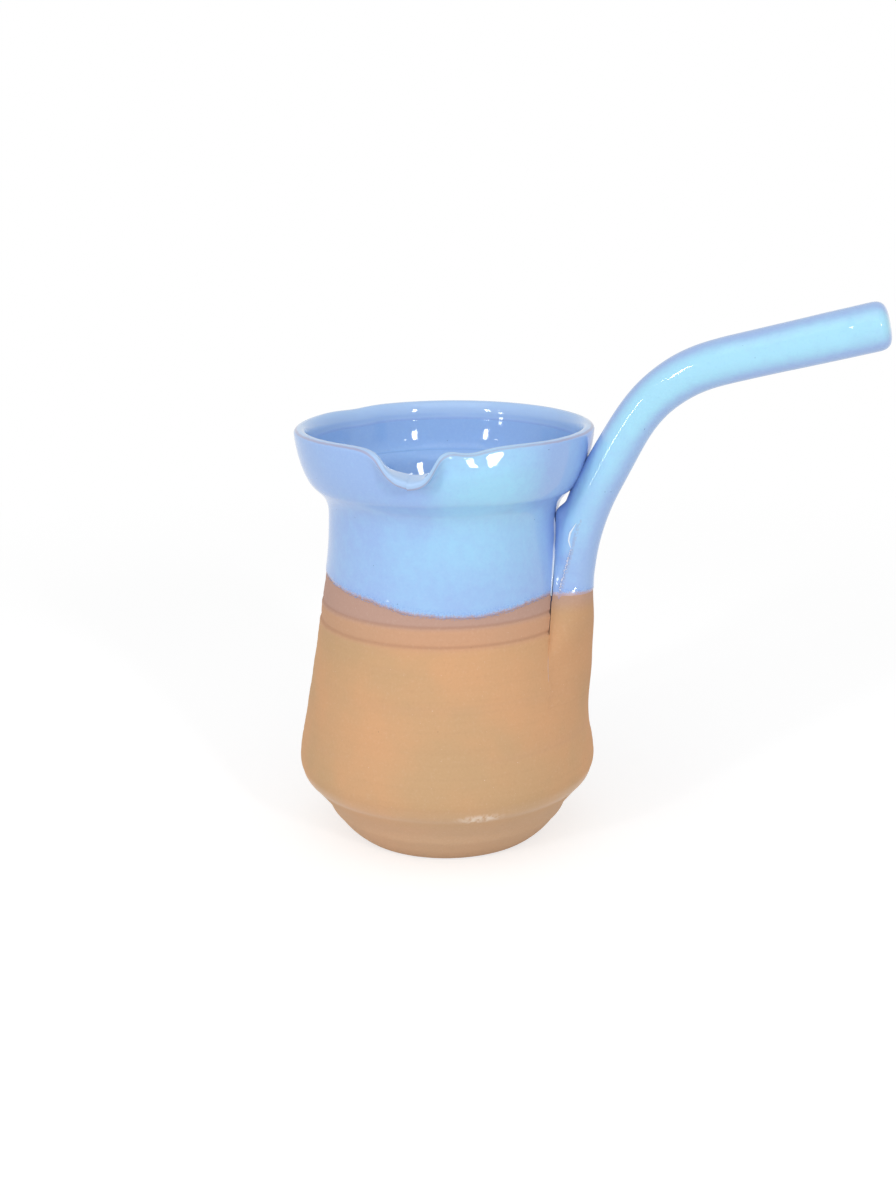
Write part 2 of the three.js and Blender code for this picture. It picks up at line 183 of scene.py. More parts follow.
def mesh_piece(
    name: str,
    points: Array,
    faces: Sequence[Sequence[int]],
    marks: dict[str, Array] | None = None,
) -> Piece:
    """Makes a smooth closed piece from points and faces.

    Args:
        name: Name of the piece.
        points: Points in millimetres, one row each.
        faces: Corner numbers of each face.
        marks: Named numbers for each point, which the finishes read.

    Returns:
        The object, at the origin, with its faces pointing outwards.
    """
    mesh = bpy.data.meshes.new(name)
    mesh.from_pydata((points * MM).tolist(), [], faces)
    for mark, values in (marks or {}).items():
        set_mark(mesh, mark, values)
    close_and_turn(mesh)
    return linked(name, mesh)


def line_piece(name: str, path: Array, marks: dict[str, Array] | None = None) -> Piece:
    """Makes a piece that is only a line through points in millimetres, for a tree to build on.

    Args:
        name: Name of the piece.
        path: The points, one row each.
        marks: Named numbers for each point.

    Returns:
        The line.
    """
    line = bpy.data.meshes.new(name + "_line")
    line.from_pydata((path * MM).tolist(), [(i, i + 1) for i in range(len(path) - 1)], [])
    for mark, values in (marks or {}).items():
        set_mark(line, mark, values)
    return linked(name, line)


def close_and_turn(mesh: bpy.types.Mesh) -> None:
    """Merges doubles, then turns every face outwards and shades it smooth.

    Args:
        mesh: The mesh, which is changed.
    """
    work = bmesh.new()
    work.from_mesh(mesh)
    bmesh.ops.remove_doubles(work, verts=work.verts, dist=WELD)
    bmesh.ops.dissolve_degenerate(work, edges=work.edges, dist=NO_LENGTH)
    bmesh.ops.recalc_face_normals(work, faces=work.faces)
    for face in work.faces:
        face.smooth = True
    work.to_mesh(mesh)
    work.free()


def ring_faces(rows: int, columns: int, wrap_rows: bool) -> list[tuple[int, int, int, int]]:
    """Faces of a grid whose columns close into rings.

    Args:
        rows: Number of rings.
        columns: Points in each ring.
        wrap_rows: True where the last ring joins the first.

    Returns:
        Four corner numbers for each face.
    """
    faces = []
    for row in range(rows if wrap_rows else rows - 1):
        here, there = row * columns, ((row + 1) % rows) * columns
        faces.extend(
            (here + column, here + (column + 1) % columns, there + (column + 1) % columns, there + column)
            for column in range(columns)
        )
    return faces


def ring_piece(
    name: str,
    rings: Array,
    marks: dict[str, Array] | None = None,
    wrap_rows: bool = False,
) -> Piece:
    """Makes a piece from rings of points, shape (rings, points in a ring, 3)."""
    rows, columns = rings.shape[:2]
    return mesh_piece(name, rings.reshape(-1, 3), ring_faces(rows, columns, wrap_rows), marks)


# ---- the thrown form


@dataclass(frozen=True)
class PotOutline:
    """Sizes of the thrown form and the six curves that they give, from the foot to the lip."""

    foot_radius: float = 25.8
    heel_radius: float = 32.4
    heel_rise: float = 7.3
    foot_roll: Pair = (4.3, 2.9)
    belly_radius: float = 41.5
    belly_rise: float = 14.9
    heel_slope_length: float = 6.3
    belly_fullness: float = 4.8
    belly_round_rise: float = 7.0
    belly_round_inset: float = 1.0
    neck_radius: float = 31.25
    taper_length: float = 61.8
    taper_slope: float = 0.19
    taper_fullness: float = 20.0
    neck_straight: float = 12.0
    shoulder_rise: float = 8.6
    shoulder_out: float = 3.95
    shoulder_fullness: float = 4.0
    shoulder_under: float = 2.8
    shoulder_over: float = 3.4
    shoulder_slope: float = 45.0
    lip_rise: float = 14.6
    rim_radius: float = 40.0
    lip_fullness: float = 4.7
    crown_rise: float = 1.25
    spout_reach: float = 2.06
    spout_drop: float = 8.48
    spout_tilt: float = -13.0
    spout_fullness: float = 6.06
    wall: float = 4.6
    lip_wall: float = 3.7
    inner_shoulder: float = 3.2
    floor: float = 6.0
    floor_flat_radius: float = 18.0
    table_stations: int = 2401

    @property
    def neck_height(self) -> float:
        """Height of the narrowest part of the neck."""
        return self.heel_rise + self.belly_rise + self.belly_round_rise + self.taper_length

    @property
    def lip_height(self) -> float:
        """Height at which the outside ends and the crown of the rim begins."""
        return self.neck_height + self.shoulder_rise + self.lip_rise

    def curves(self, pinch: Array, sag: Array) -> Array:
        """Control points of the cubic curves, as radius and height.

        Args:
            pinch: From 0 at the plain rim to 1 at the middle of the pouring lip, for each column.
            sag: How far the rim hangs below its height, for each column.

        Returns:
            Array of shape (columns, 6 curves, 4 points, 2).
        """
        slope_angle = math.radians(self.shoulder_slope)
        slope = np.array([math.cos(slope_angle), math.sin(slope_angle)])
        up = np.array([0.0, 1.0])
        foot = np.array([self.foot_radius, 0.0])
        heel = np.array([self.heel_radius, self.heel_rise])
        belly = np.array([self.belly_radius, self.heel_rise + self.belly_rise])
        waist = belly + np.array([-self.belly_round_inset, self.belly_round_rise])
        neck = np.array([self.neck_radius, self.neck_height])
        shoulder = neck + np.array([self.shoulder_out, self.shoulder_rise])
        lip = np.array([self.rim_radius, self.lip_height])
        lip_handle = lip - up * self.lip_fullness
        spout = lip + np.array([self.spout_reach, -self.spout_drop])
        tilt = math.radians(self.spout_tilt)
        spout_handle = spout - np.array([math.cos(tilt), math.sin(tilt)]) * self.spout_fullness
        roll_handle = foot + np.array(self.foot_roll)
        heel_slope = (heel - roll_handle) / np.linalg.norm(heel - roll_handle)
        taper = np.array([-self.taper_slope, 1.0]) * self.taper_fullness

        def raised(a: Array, b: Array, c: Array) -> list[Array]:
            """Quadratic curve written with four points."""
            return [a, a + (b - a) * 2 / 3, c + (b - c) * 2 / 3, c]

        level = np.array([
            raised(foot, roll_handle, heel),
            [heel, heel + heel_slope * self.heel_slope_length, belly - up * self.belly_fullness, belly],
            raised(belly, belly + up * self.belly_round_rise / 2, waist),
            [waist, waist + taper, neck - up * self.neck_straight, neck],
            [neck, neck + up * self.shoulder_fullness, shoulder - slope * self.shoulder_under, shoulder],
            [shoulder, shoulder + slope * self.shoulder_over, lip_handle, lip],
        ])
        every = np.tile(level, (len(pinch), 1, 1, 1))
        hang = sag[:, None] * up
        every[:, 5, 2] = lip_handle + pinch[:, None] * (spout_handle - lip_handle) - hang
        every[:, 5, 3] = lip + pinch[:, None] * (spout - lip) - hang
        return every

    def skin(self, curves: Array, station: Array) -> tuple[Array, Array]:
        """Points and outward normals of the outside.

        Args:
            curves: What curves() gives.
            station: Curve number plus the share along it, shape (columns, rows).

        Returns:
            Points and normals as radius and height, shape (columns, rows, 2).
        """
        number = np.clip(station.astype(int), 0, int(FLANGE))
        t = (station - number)[..., None]
        a, b, c, d = np.moveaxis(curves[np.arange(len(curves))[:, None], number], 2, 0)
        point = a * (1 - t) ** 3 + 3 * b * t * (1 - t) ** 2 + 3 * c * t**2 * (1 - t) + d * t**3
        tangent = (b - a) * (1 - t) ** 2 + 2 * (c - b) * t * (1 - t) + (d - c) * t**2
        tangent /= np.linalg.norm(tangent, axis=-1, keepdims=True)
        return point, np.stack([tangent[..., 1], -tangent[..., 0]], axis=-1)

    def level_table(self) -> tuple[Array, Array, Array]:
        """Stations, heights and radii of the plain outside, close enough together to read between.

        Returns:
            Stations, heights and radii.
        """
        station = np.linspace(0.0, LIP, self.table_stations)
        point, _ = self.skin(self.curves(*np.zeros((2, 1))), station[None])
        return station, point[0, :, 1], point[0, :, 0]

    def station_at(self, height: Values) -> Array:
        """Station of the plain outside at a height."""
        station, heights, _ = self.level_table()
        return np.interp(height, heights, station)

    def radius_at(self, height: Values) -> Array:
        """Radius of the plain outside at a height."""
        _, heights, radii = self.level_table()
        return np.interp(height, heights, radii)

    def wall_at(self, station: Array) -> Array:
        """Wall thickness at a station, which eases to the lip's along the flange."""
        return blend(self.wall, self.lip_wall, np.clip(station - FLANGE, 0.0, 1.0))


@dataclass(frozen=True)
class DipLine:
    """Height of the dip's edge round the pot, which was held a little tilted in the glaze."""

    low: float = 71.5
    high: float = 76.0
    left_rise: Pair = (-85.0, -136.0)
    back_fall: Pair = (-190.0, -290.0)
    drops: tuple[Triple, ...] = (
        (-70.0, 38.0, 1.35), (-131.0, 17.0, 1.20), (-25.0, 17.0, -1.00), (-96.0, 20.0, -0.70),
    )
    lobes: tuple[Lobe, ...] = ((5, 0.10, 0.4), (11, 0.06, 1.9), (23, 0.04, 0.7))
    turn_start: float = 60.0
    froth: float = 0.14
    seed: int = 11

    def height(self, angle: Array) -> Array:
        """Height of the edge at angles round the pot, in radians.

        Args:
            angle: Angles in radians.

        Returns:
            The heights.
        """
        degrees = (np.degrees(angle) - self.turn_start) % 360.0 + (self.turn_start - 360.0)
        up = ease(-degrees, -self.left_rise[0], -self.left_rise[1])
        down = ease(-degrees, -self.back_fall[0], -self.back_fall[1])
        turned = np.degrees(angle)
        drop = sum(depth * hump(wrapped(turned - at), 0.0, width) for at, width, depth in self.drops)
        return self.low + (self.high - self.low) * up * (1 - down) - drop + waves(angle, self.lobes)

    def frothy(self, angle: Array) -> Array:
        """Height of the edge with the small steps of its froth, for neighbouring columns.

        Args:
            angle: Angle of each column, in radians.

        Returns:
            The heights.
        """
        random = np.random.default_rng(self.seed)
        steps = random.normal(0.0, self.froth, len(angle))
        return self.height(angle) + (steps + np.roll(steps, 1)) / 2


@dataclass(frozen=True)
class Groove:
    """A line left by a tool or a finger while the pot turned."""

    height: float
    depth: float
    width: float

    def profile(self, height: Array) -> Array:
        """Depth of the line at a height."""
        return self.depth * hump(height, self.height, self.width)


@dataclass(frozen=True)
class Rings:
    """Rings that the fingers left one over another while the pot turned."""

    depth: float
    pitch: float
    phase: float = 0.0
    drift: float = 0.0
    drift_rate: float = 0.0

    def profile(self, height: Array) -> Array:
        """How far the rings stand out at a height."""
        turn = 2 * math.pi * height / self.pitch + self.phase
        return self.depth * np.sin(turn + self.drift * np.sin(self.drift_rate * height))


@dataclass(frozen=True)
class Coat:
    """A coat of glaze, the round of its edge, and how the clay lies under it."""

    thickness: float = 0.34
    clay_inset: float = 0.20
    edge_length: float = 0.8
    near_reach: Pair = (-9.0, -0.4)
    under_reach: Pair = (0.3, 2.5)

    def feather(self, distance: Values, extra: float) -> Array:
        """Depth of the coat's rounded edge under its full face.

        Args:
            distance: Distance from the edge.
            extra: How far the very edge lies under the bare clay beside it.

        Returns:
            The depth at each distance.
        """
        share = np.clip(np.asarray(distance) / self.edge_length, 0.0, 1.0)
        return (self.clay_inset + extra) * (1.0 - np.sqrt(1.0 - (1.0 - share) ** 2))

    def clay_depth(self, above: Array, tuck: float) -> Array:
        """How far the clay lies under its glazed size.

        Args:
            above: Height over the coat's edge.
            tuck: How much further in the clay lies once the coat covers it.

        Returns:
            The depth at each height.
        """
        return self.clay_inset * ease(above, *self.near_reach) + tuck * ease(above, *self.under_reach)


@dataclass(frozen=True)
class PaintedLightOnPot:
    """Painted light on the dip coat, from 0 to 1: the share of its lit cyan tone, highest on the side that
    faces the lamps and on the flange under the rim, lower toward the dip's edge, and lowered beside and under
    the pouring lip as painted shade.
    """

    angle: float = -58.0
    least: float = 0.25
    most: float = 0.62
    rise: Pair = (74.0, 88.0)
    under_rim: float = 0.38
    under_rim_at: Pair = (105.0, 5.5)
    width: Pair = (0.62, 0.84)
    narrowing: Pair = (92.0, 101.0)
    full_at: float = 1.01
    lip_painted_shade: float = 0.85
    lip_width: float = 9.0
    lip_reach: Pair = (86.0, 96.0)

    def depth(self, angle: Array, from_lip: Array, height: Array) -> Array:
        """Painted-light share, from 0 to 1: lit cyan where it is high, shaded violet where it is low.

        Args:
            angle: Angle of each column round the pot, in radians.
            from_lip: Angle from the pouring lip to each column, from 0 to 360 degrees.
            height: Heights, shape (columns, rows).

        Returns:
            The share, with the shape of height.
        """
        # Painted light: most on the side that faces the lamps, more on the flange under the rim.
        facing = np.cos(angle - math.radians(self.angle))[:, None]
        up = blend(self.least, self.most, ease(height, *self.rise))
        up = up + self.under_rim * hump(height, *self.under_rim_at)
        low = blend(*self.width, ease(height, *self.narrowing))
        # Painted shade: less of the lit tone on the neck beside and under the pouring lip.
        beside_lip = hump(from_lip, 0.0, self.lip_width)[:, None]
        beside_lip = np.maximum(beside_lip, beside_lip[::-1])
        lip_shaded = 1.0 - self.lip_painted_shade * beside_lip * ease(height, *self.lip_reach)
        return ease(facing, low, self.full_at) * up * lip_shaded


@dataclass
class ThrownPot:
    """The thrown vessel, its liner coat and the dip coat over its top half."""

    outline: PotOutline = field(default_factory=PotOutline)
    dip_line: DipLine = field(default_factory=DipLine)
    spout_angle: float = -86.0
    spout_near: Pair = (9.9, 1.96)
    spout_far: Pair = (9.98, 3.23)
    sags: tuple[Triple, ...] = (
        (296.4, 8.5, 1.13), (301.0, 14.0, 0.40), (149.0, 8.5, 0.42), (107.0, 60.0, -0.50),
    )
    facet: Four = (-62.0, 25.7, 1.54, 4.53)
    facet_bend: float = 0.16
    facet_softness: float = 0.5
    exp_limit: float = 30.0
    dent: Four = (-55.8, 6.9, 0.48, 9.0)
    columns: int = 384
    crowding: float = 0.55
    grooves: tuple[Groove, ...] = (
        Groove(68.0, 0.30, 0.58),
        Groove(62.9, 0.32, 0.62),
        Groove(19.6, 0.10, 0.70),
    )
    burr: Triple = (0.4, 2.2, 1.4)
    hollow: Groove = Groove(96.0, 0.45, 3.4)
    turned_edge: Groove = Groove(17.9, -0.30, 1.9)
    heel_swell: Groove = Groove(8.0, -0.42, 1.5)
    inner_fills: tuple[Groove, ...] = (Groove(98.3, 1.3, 2.1), Groove(99.0, -1.13, 8.0))
    wander: tuple[Lobe, ...] = ((1, 0.22, 0.6), (2, 0.10, 2.0))
    fine_rings: Rings = Rings(0.022, 2.7, drift=1.3, drift_rate=0.23)
    broad_rings: Rings = Rings(0.045, 9.5, phase=0.5)
    ring_start: Pair = (12.0, 24.0)
    rings_in_glaze: float = 0.25
    glaze_start: Pair = (70.0, 78.0)
    inner_rings: Rings = Rings(0.10, 6.3)
    inner_ring_top: Pair = (100.0, 84.0)
    coat: Coat = Coat()
    feather_extra: float = 0.08
    tuck: float = 0.50
    hidden_clay: float = 0.8
    foot_edge: Pair = (0.6, 0.25)
    edge_bead: float = 0.06
    edge_bead_at: Pair = (1.3, 0.8)
    full_face: float = 9.0
    seam: float = 0.70
    seam_lap: float = 0.05
    seam_gap: float = 0.06
    liner_inset: float = 0.02
    light_and_tone_share: PaintedLightOnPot = PaintedLightOnPot()
    froth_over: float = 0.1
    froth_sunk: float = 0.06
    out_of_round: tuple[Lobe, ...] = ((2, 0.38, -0.6), (3, 0.05, 1.2))
    lean: Pair = (0.50, 17.0)
    lean_reach: Pair = (88.0, 112.0)
    shoulder_sag: Pair = (0.75, 10.0)
    sag_rise: Pair = (86.0, 95.0)
    sag_fall: Pair = (112.0, 101.0)
    clay_rows: tuple[Span, ...] = ((0.0, 9.5, 26), (10.2, 59.0, 70), (59.5, 79.0, 72))
    edge_rows: tuple[float, ...] = (0, 0.04, 0.12, 0.24, 0.4, 0.6, 0.85, 1.2, 1.7, 2.3)
    face_rows: Span = (3.0, 14.5, 26)

    @property
    def rim_start(self) -> float:
        """Station at which the inside starts, under the crown's inner shoulder."""
        return LIP - self.outline.inner_shoulder / self.outline.lip_rise

    def __post_init__(self) -> None:
        """Sets the angle, pinch and curves of every column."""
        turn = np.arange(self.columns) / self.columns * 2 * math.pi
        self.angle = math.radians(self.spout_angle) + turn - self.crowding * np.sin(turn)
        self.pinch = self.pinch_at(self.angle)
        self.curves = self.outline.curves(self.pinch, self.sag_at(self.angle))
        self.edge = self.dip_line.frothy(self.angle)

    def pinch_at(self, angle: Array) -> Array:
        """How far the rim is pinched at an angle: 1 on the lip's floor, 0 past its soft flanks.

        Args:
            angle: Angles in radians.

        Returns:
            The pinch at each angle.
        """
        turn = wrapped(np.degrees(angle) - self.spout_angle)
        middle, softness = (np.where(turn > 0, *pair) for pair in zip(self.spout_near, self.spout_far))
        return 1.0 / (1.0 + np.exp((np.abs(turn) - middle) / softness))

    def sag_at(self, angle: Array) -> Array:
        """How far the rim hangs low: beside the lip and in one shallow dent at the back."""
        degrees = np.degrees(angle) % 360.0
        return sum(depth * hump(degrees, at, width) for at, width, depth in self.sags)

    def pressed_in(self, height: Array) -> Array:
        """How far the fingers that drew the lip pushed the flange's top in beside it, shape as height.

        Args:
            height: Heights, shape (columns, rows).

        Returns:
            Depth at each point.
        """
        degrees = wrapped(np.degrees(self.angle))
        under_lip = height - self.curves[:, int(FLANGE), 3, 1][:, None]
        at, width, depth, tall = self.facet
        steep = np.clip((under_lip + tall) / self.facet_softness, -self.exp_limit, self.exp_limit)
        ramp = self.facet_softness * np.log1p(np.exp(steep)) / tall
        ramp = ramp * (1.0 + self.facet_bend * (1.0 - ramp))
        facet = depth * hump(degrees, at, width, power=4)[:, None] * ramp * (1.0 - self.pinch[:, None])
        at, width, depth, tall = self.dent
        return facet + depth * hump(degrees, at, width)[:, None] * ease(under_lip, -tall, 0.0)

    def relief(self, height: Array) -> Array:
        """How far throwing left the outside proud of or under its curve, shape as height.

        Args:
            height: Heights, shape (columns, rows).

        Returns:
            Distance out of the wall at each point.
        """
        at = height + waves(self.angle, self.wander)[:, None]
        cut = sum(g.profile(at) for g in (*self.grooves, self.hollow, self.turned_edge, self.heel_swell))
        share, under, wide = self.burr
        rolled = sum(
            share * g.depth * hump(at - g.height + under * g.width, 0.0, wide * g.width) for g in self.grooves
        )
        shown = blend(1.0, self.rings_in_glaze, ease(height, *self.glaze_start))
        shown = ease(height, *self.ring_start) * shown
        return rolled - cut + (self.fine_rings.profile(at) + self.broad_rings.profile(at)) * shown

    def place(self, section: Array) -> Array:
        """Turns sections of radius and height, shape (columns, rows, 2), into rings of points.

        Args:
            section: Radius and height of each point, by column.

        Returns:
            Rings of points, shape (rows, columns, 3).
        """
        from_axis, height = section[..., 0], section[..., 1]
        share = np.clip(height / self.outline.lip_height, 0.0, 1.0) ** 4
        radius = from_axis + waves(self.angle, self.out_of_round)[:, None] * share * (from_axis > 1.0)
        (leant, leant_to), (sagged, sagged_at) = self.lean, self.shoulder_sag
        leant = leant * ease(height, *self.lean_reach)
        low = sagged * np.clip(np.cos(self.angle - math.radians(sagged_at)), 0.0, 1.0) ** 2
        reach = ease(height, *self.sag_rise) * ease(height, *self.sag_fall)
        across = radius * np.cos(self.angle)[:, None] + leant * math.cos(math.radians(leant_to))
        along = radius * np.sin(self.angle)[:, None] + leant * math.sin(math.radians(leant_to))
        return np.moveaxis(np.stack([across, along, height - low[:, None] * reach], axis=-1), 0, 1)

    def outside(self, station: Array, proud: Values) -> Array:
        """Section of the outside at stations, moved outwards by proud and by the throwing marks.

        Args:
            station: Stations, by column or the same for all.
            proud: Distance outwards.

        Returns:
            Radius and height of each point.
        """
        if station.ndim == 1:
            station = np.tile(station, (self.columns, 1))
        point, normal = self.outline.skin(self.curves, station)
        away = self.relief(point[..., 1]) - self.pressed_in(point[..., 1]) + proud
        return point + normal * away[..., None]

    def inside(self, station: Array, depth: float | Array) -> Array:
        """Section of the inside at stations, moved into the wall by depth.

        Args:
            station: Stations, the same for all columns.
            depth: Distance into the wall.

        Returns:
            Radius and height of each point.
        """
        station = np.tile(station, (self.columns, 1))
        point, normal = self.outline.skin(self.curves, station)
        rings = self.inner_rings.profile(point[..., 1]) * ease(point[..., 1], *self.inner_ring_top)
        fill = sum(g.profile(point[..., 1]) for g in self.inner_fills)
        inward = self.outline.wall_at(station) - depth + rings + fill
        return point - normal * inward[..., None]

    def bowl(self, depth: float, rows: int) -> Array:
        """Section from the inside of the heel down to the middle of the floor.

        Args:
            depth: Distance into the wall and floor.
            rows: Points down to the flat floor.

        Returns:
            Radius and height of each point.
        """
        outline = self.outline
        start, normal = outline.skin(self.curves, np.full((self.columns, 1), INNER_HEEL))
        start = (start - normal * (outline.wall - depth))[:, 0]
        tangent = np.stack([-normal[:, 0, 1], normal[:, 0, 0]], axis=-1)
        floor = outline.floor - depth
        corner = start - tangent * ((start[:, 1:] - floor) / tangent[:, 1:])
        end = np.tile([outline.floor_flat_radius, floor], (self.columns, 1))
        t = np.linspace(0.0, 1.0, rows)[1:, None, None]
        sweep = start * (1 - t) ** 2 + 2 * corner * t * (1 - t) + end * t**2
        flat = np.linspace(1.0, 0.0, 8)[1:, None, None] * (end * [1, 0]) + [0.0, floor]
        return np.moveaxis(np.concatenate([sweep, flat]), 0, 1)

    def crown(self, depth: float, rows: int) -> Array:
        """Section over the rim, from the end of the outside to the start of the inside.

        Args:
            depth: Distance into the rim.
            rows: Points over the rim, with both ends.

        Returns:
            Radius and height of each point.
        """
        outline = self.outline
        lip, normal = outline.skin(self.curves, np.full((self.columns, 1), LIP))
        tangent = np.stack([-normal[..., 1], normal[..., 0]], axis=-1)
        lip = lip - normal * self.pressed_in(lip[..., 1])[..., None]
        middle = lip - normal * outline.lip_wall / 2
        turn = np.linspace(0.0, math.pi, rows)[1:-1, None]
        wide = (outline.lip_wall / 2 - depth) * np.cos(turn)
        drop = outline.inner_shoulder * (np.cos(turn) < 0)
        high = (outline.crown_rise - depth + drop) * np.sin(turn) - drop
        plain_end = middle - normal * (outline.lip_wall / 2 - depth) - tangent * outline.inner_shoulder
        miss = self.inside(np.array([self.rim_start]), depth) - plain_end
        return middle + normal * wide + tangent * high + miss * ease(turn, math.pi / 2, math.pi)

    def body(self) -> Piece:
        """The clay vessel, from the middle of its foot to the middle of its floor.

        Returns:
            The piece.
        """
        outline = self.outline
        heights = spans(*self.clay_rows, (80.5, outline.lip_height - 1, 16))
        station = np.append(outline.station_at(heights), LIP)
        plain_heights = outline.skin(self.curves, np.tile(station, (self.columns, 1)))[0][..., 1]
        outer = self.outside(station, -self.coat.clay_depth(plain_heights - self.edge[:, None], self.tuck))
        foot = outline.foot_radius - np.array(self.foot_edge)
        outer[:, 0] = [foot[1], 0.0]
        under_foot = np.stack([np.linspace(0.0, foot[0], 12), np.zeros(12)], axis=-1)
        section = np.concatenate([
            np.tile(under_foot, (self.columns, 1, 1)),
            outer,
            self.crown(self.hidden_clay, 7),
            self.inside(np.linspace(self.rim_start, INNER_HEEL, 30), self.hidden_clay),
            self.bowl(self.hidden_clay, 8),
        ], axis=1)
        cut = sum(g.profile(section[..., 1]) / g.depth for g in self.grooves[:2])
        below = self.edge[:, None] - section[..., 1]
        return ring_piece("thrown_pot", self.place(section), {"cut": cut.T, "below": below.T})

    def dip_stations(self) -> tuple[Array, Array]:
        """Rows of the dip's outer face: close together at its edge and round the flange.

        Returns:
            Stations, shape (columns, rows), and the distance of each row from the dip's edge.
        """
        rise = np.append(self.edge_rows, np.linspace(*self.face_rows))
        low = self.outline.station_at(self.edge[:, None] + rise)
        share = np.linspace(0.0, 1.0, 14)[1:]
        middle = low[:, -1:] + (SHOULDER - low[:, -1:]) * share
        high = spans((SHOULDER, FLANGE, 34), (FLANGE, LIP, 52))[1:]
        station = np.concatenate([low, middle, np.tile(high, (self.columns, 1))], axis=1)
        return station, np.append(rise, np.full(station.shape[1] - len(rise), self.full_face))

    def dip_coat(self) -> Piece:
        """The coat on the outside of the top half and over the rim.

        Returns:
            The piece.
        """
        station, distance = self.dip_stations()
        proud = self.edge_bead * hump(distance, *self.edge_bead_at)
        proud = proud - self.coat.feather(distance, self.feather_extra)
        thick = self.coat.thickness
        seam = np.linspace(self.rim_start, FLANGE + self.seam, 12)
        lap = np.append(self.seam_lap * ease(seam, seam[6], seam[-1]), thick - 0.04)
        seam = np.append(seam, seam[-1])
        parts = [
            self.outside(station, np.tile(proud, (self.columns, 1))),
            self.crown(0.0, 22),
            self.inside(seam, lap),
            self.inside(seam[::-1], thick),
            self.crown(thick, 9)[:, ::-1],
            self.outside(station[:, ::-3], -thick),
        ]
        whole = np.concatenate(parts, axis=1)
        counts = [part.shape[1] for part in parts]
        edge = np.concatenate([distance, np.full(sum(counts[1:-1]), self.full_face), np.zeros(counts[-1])])
        before = -np.clip((LIP - station) * self.outline.lip_rise, 0.0, self.full_face) / self.full_face
        over = np.concatenate([
            np.linspace(0.0, 1.0, counts[1] + 2)[1:-1],
            1.0 + np.linspace(0, 1, counts[2]),
            np.full(sum(counts[3:]), -1.0),
        ])
        marks = {
            "edge": np.tile(edge, (self.columns, 1)).T,
            "crown": np.concatenate([before, np.tile(over, (self.columns, 1))], axis=1).T,
            # Painted light: the share of the lit tone over the shaded one.
            "light_and_tone_share": self.light_and_tone_share.depth(self.angle, np.degrees(self.angle) - self.spout_angle, whole[..., 1]).T,
        }
        return ring_piece("dip_coat", self.place(whole), marks, wrap_rows=True)

    def edge_path(self) -> Array:
        """Points along the dip's edge, all round the pot.

        Returns:
            Points, one row each.
        """
        angle = np.linspace(0.0, 2 * math.pi, 500)
        height = self.dip_line.height(angle) + self.froth_over
        radius = self.outline.radius_at(height) - self.froth_sunk
        return np.stack([radius * np.cos(angle), radius * np.sin(angle), height], axis=-1)

    def liner_coat(self) -> Piece:
        """The coat inside the pot, from just behind the dip's seam to the floor.

        Returns:
            The piece.
        """
        seam = FLANGE + self.seam
        station = spans(
            (seam + self.seam_gap, FLANGE, 26), (FLANGE, SHOULDER, 26),
            (SHOULDER, TAPER, 48), (TAPER, INNER_HEEL, 18),
        )
        inset = self.liner_inset
        tucked = inset + self.seam_gap * ease(station, seam + inset, seam + self.seam_gap)
        face = [self.inside(station, tucked), self.bowl(inset, 18)]
        thick = self.coat.thickness
        back = [self.inside(np.append(station[::3], station[-1]), thick), self.bowl(thick, 10)]
        section = np.concatenate([np.concatenate(back, axis=1)[:, ::-1], *face], axis=1)
        return ring_piece("liner_coat", self.place(section))


# ---- the handle


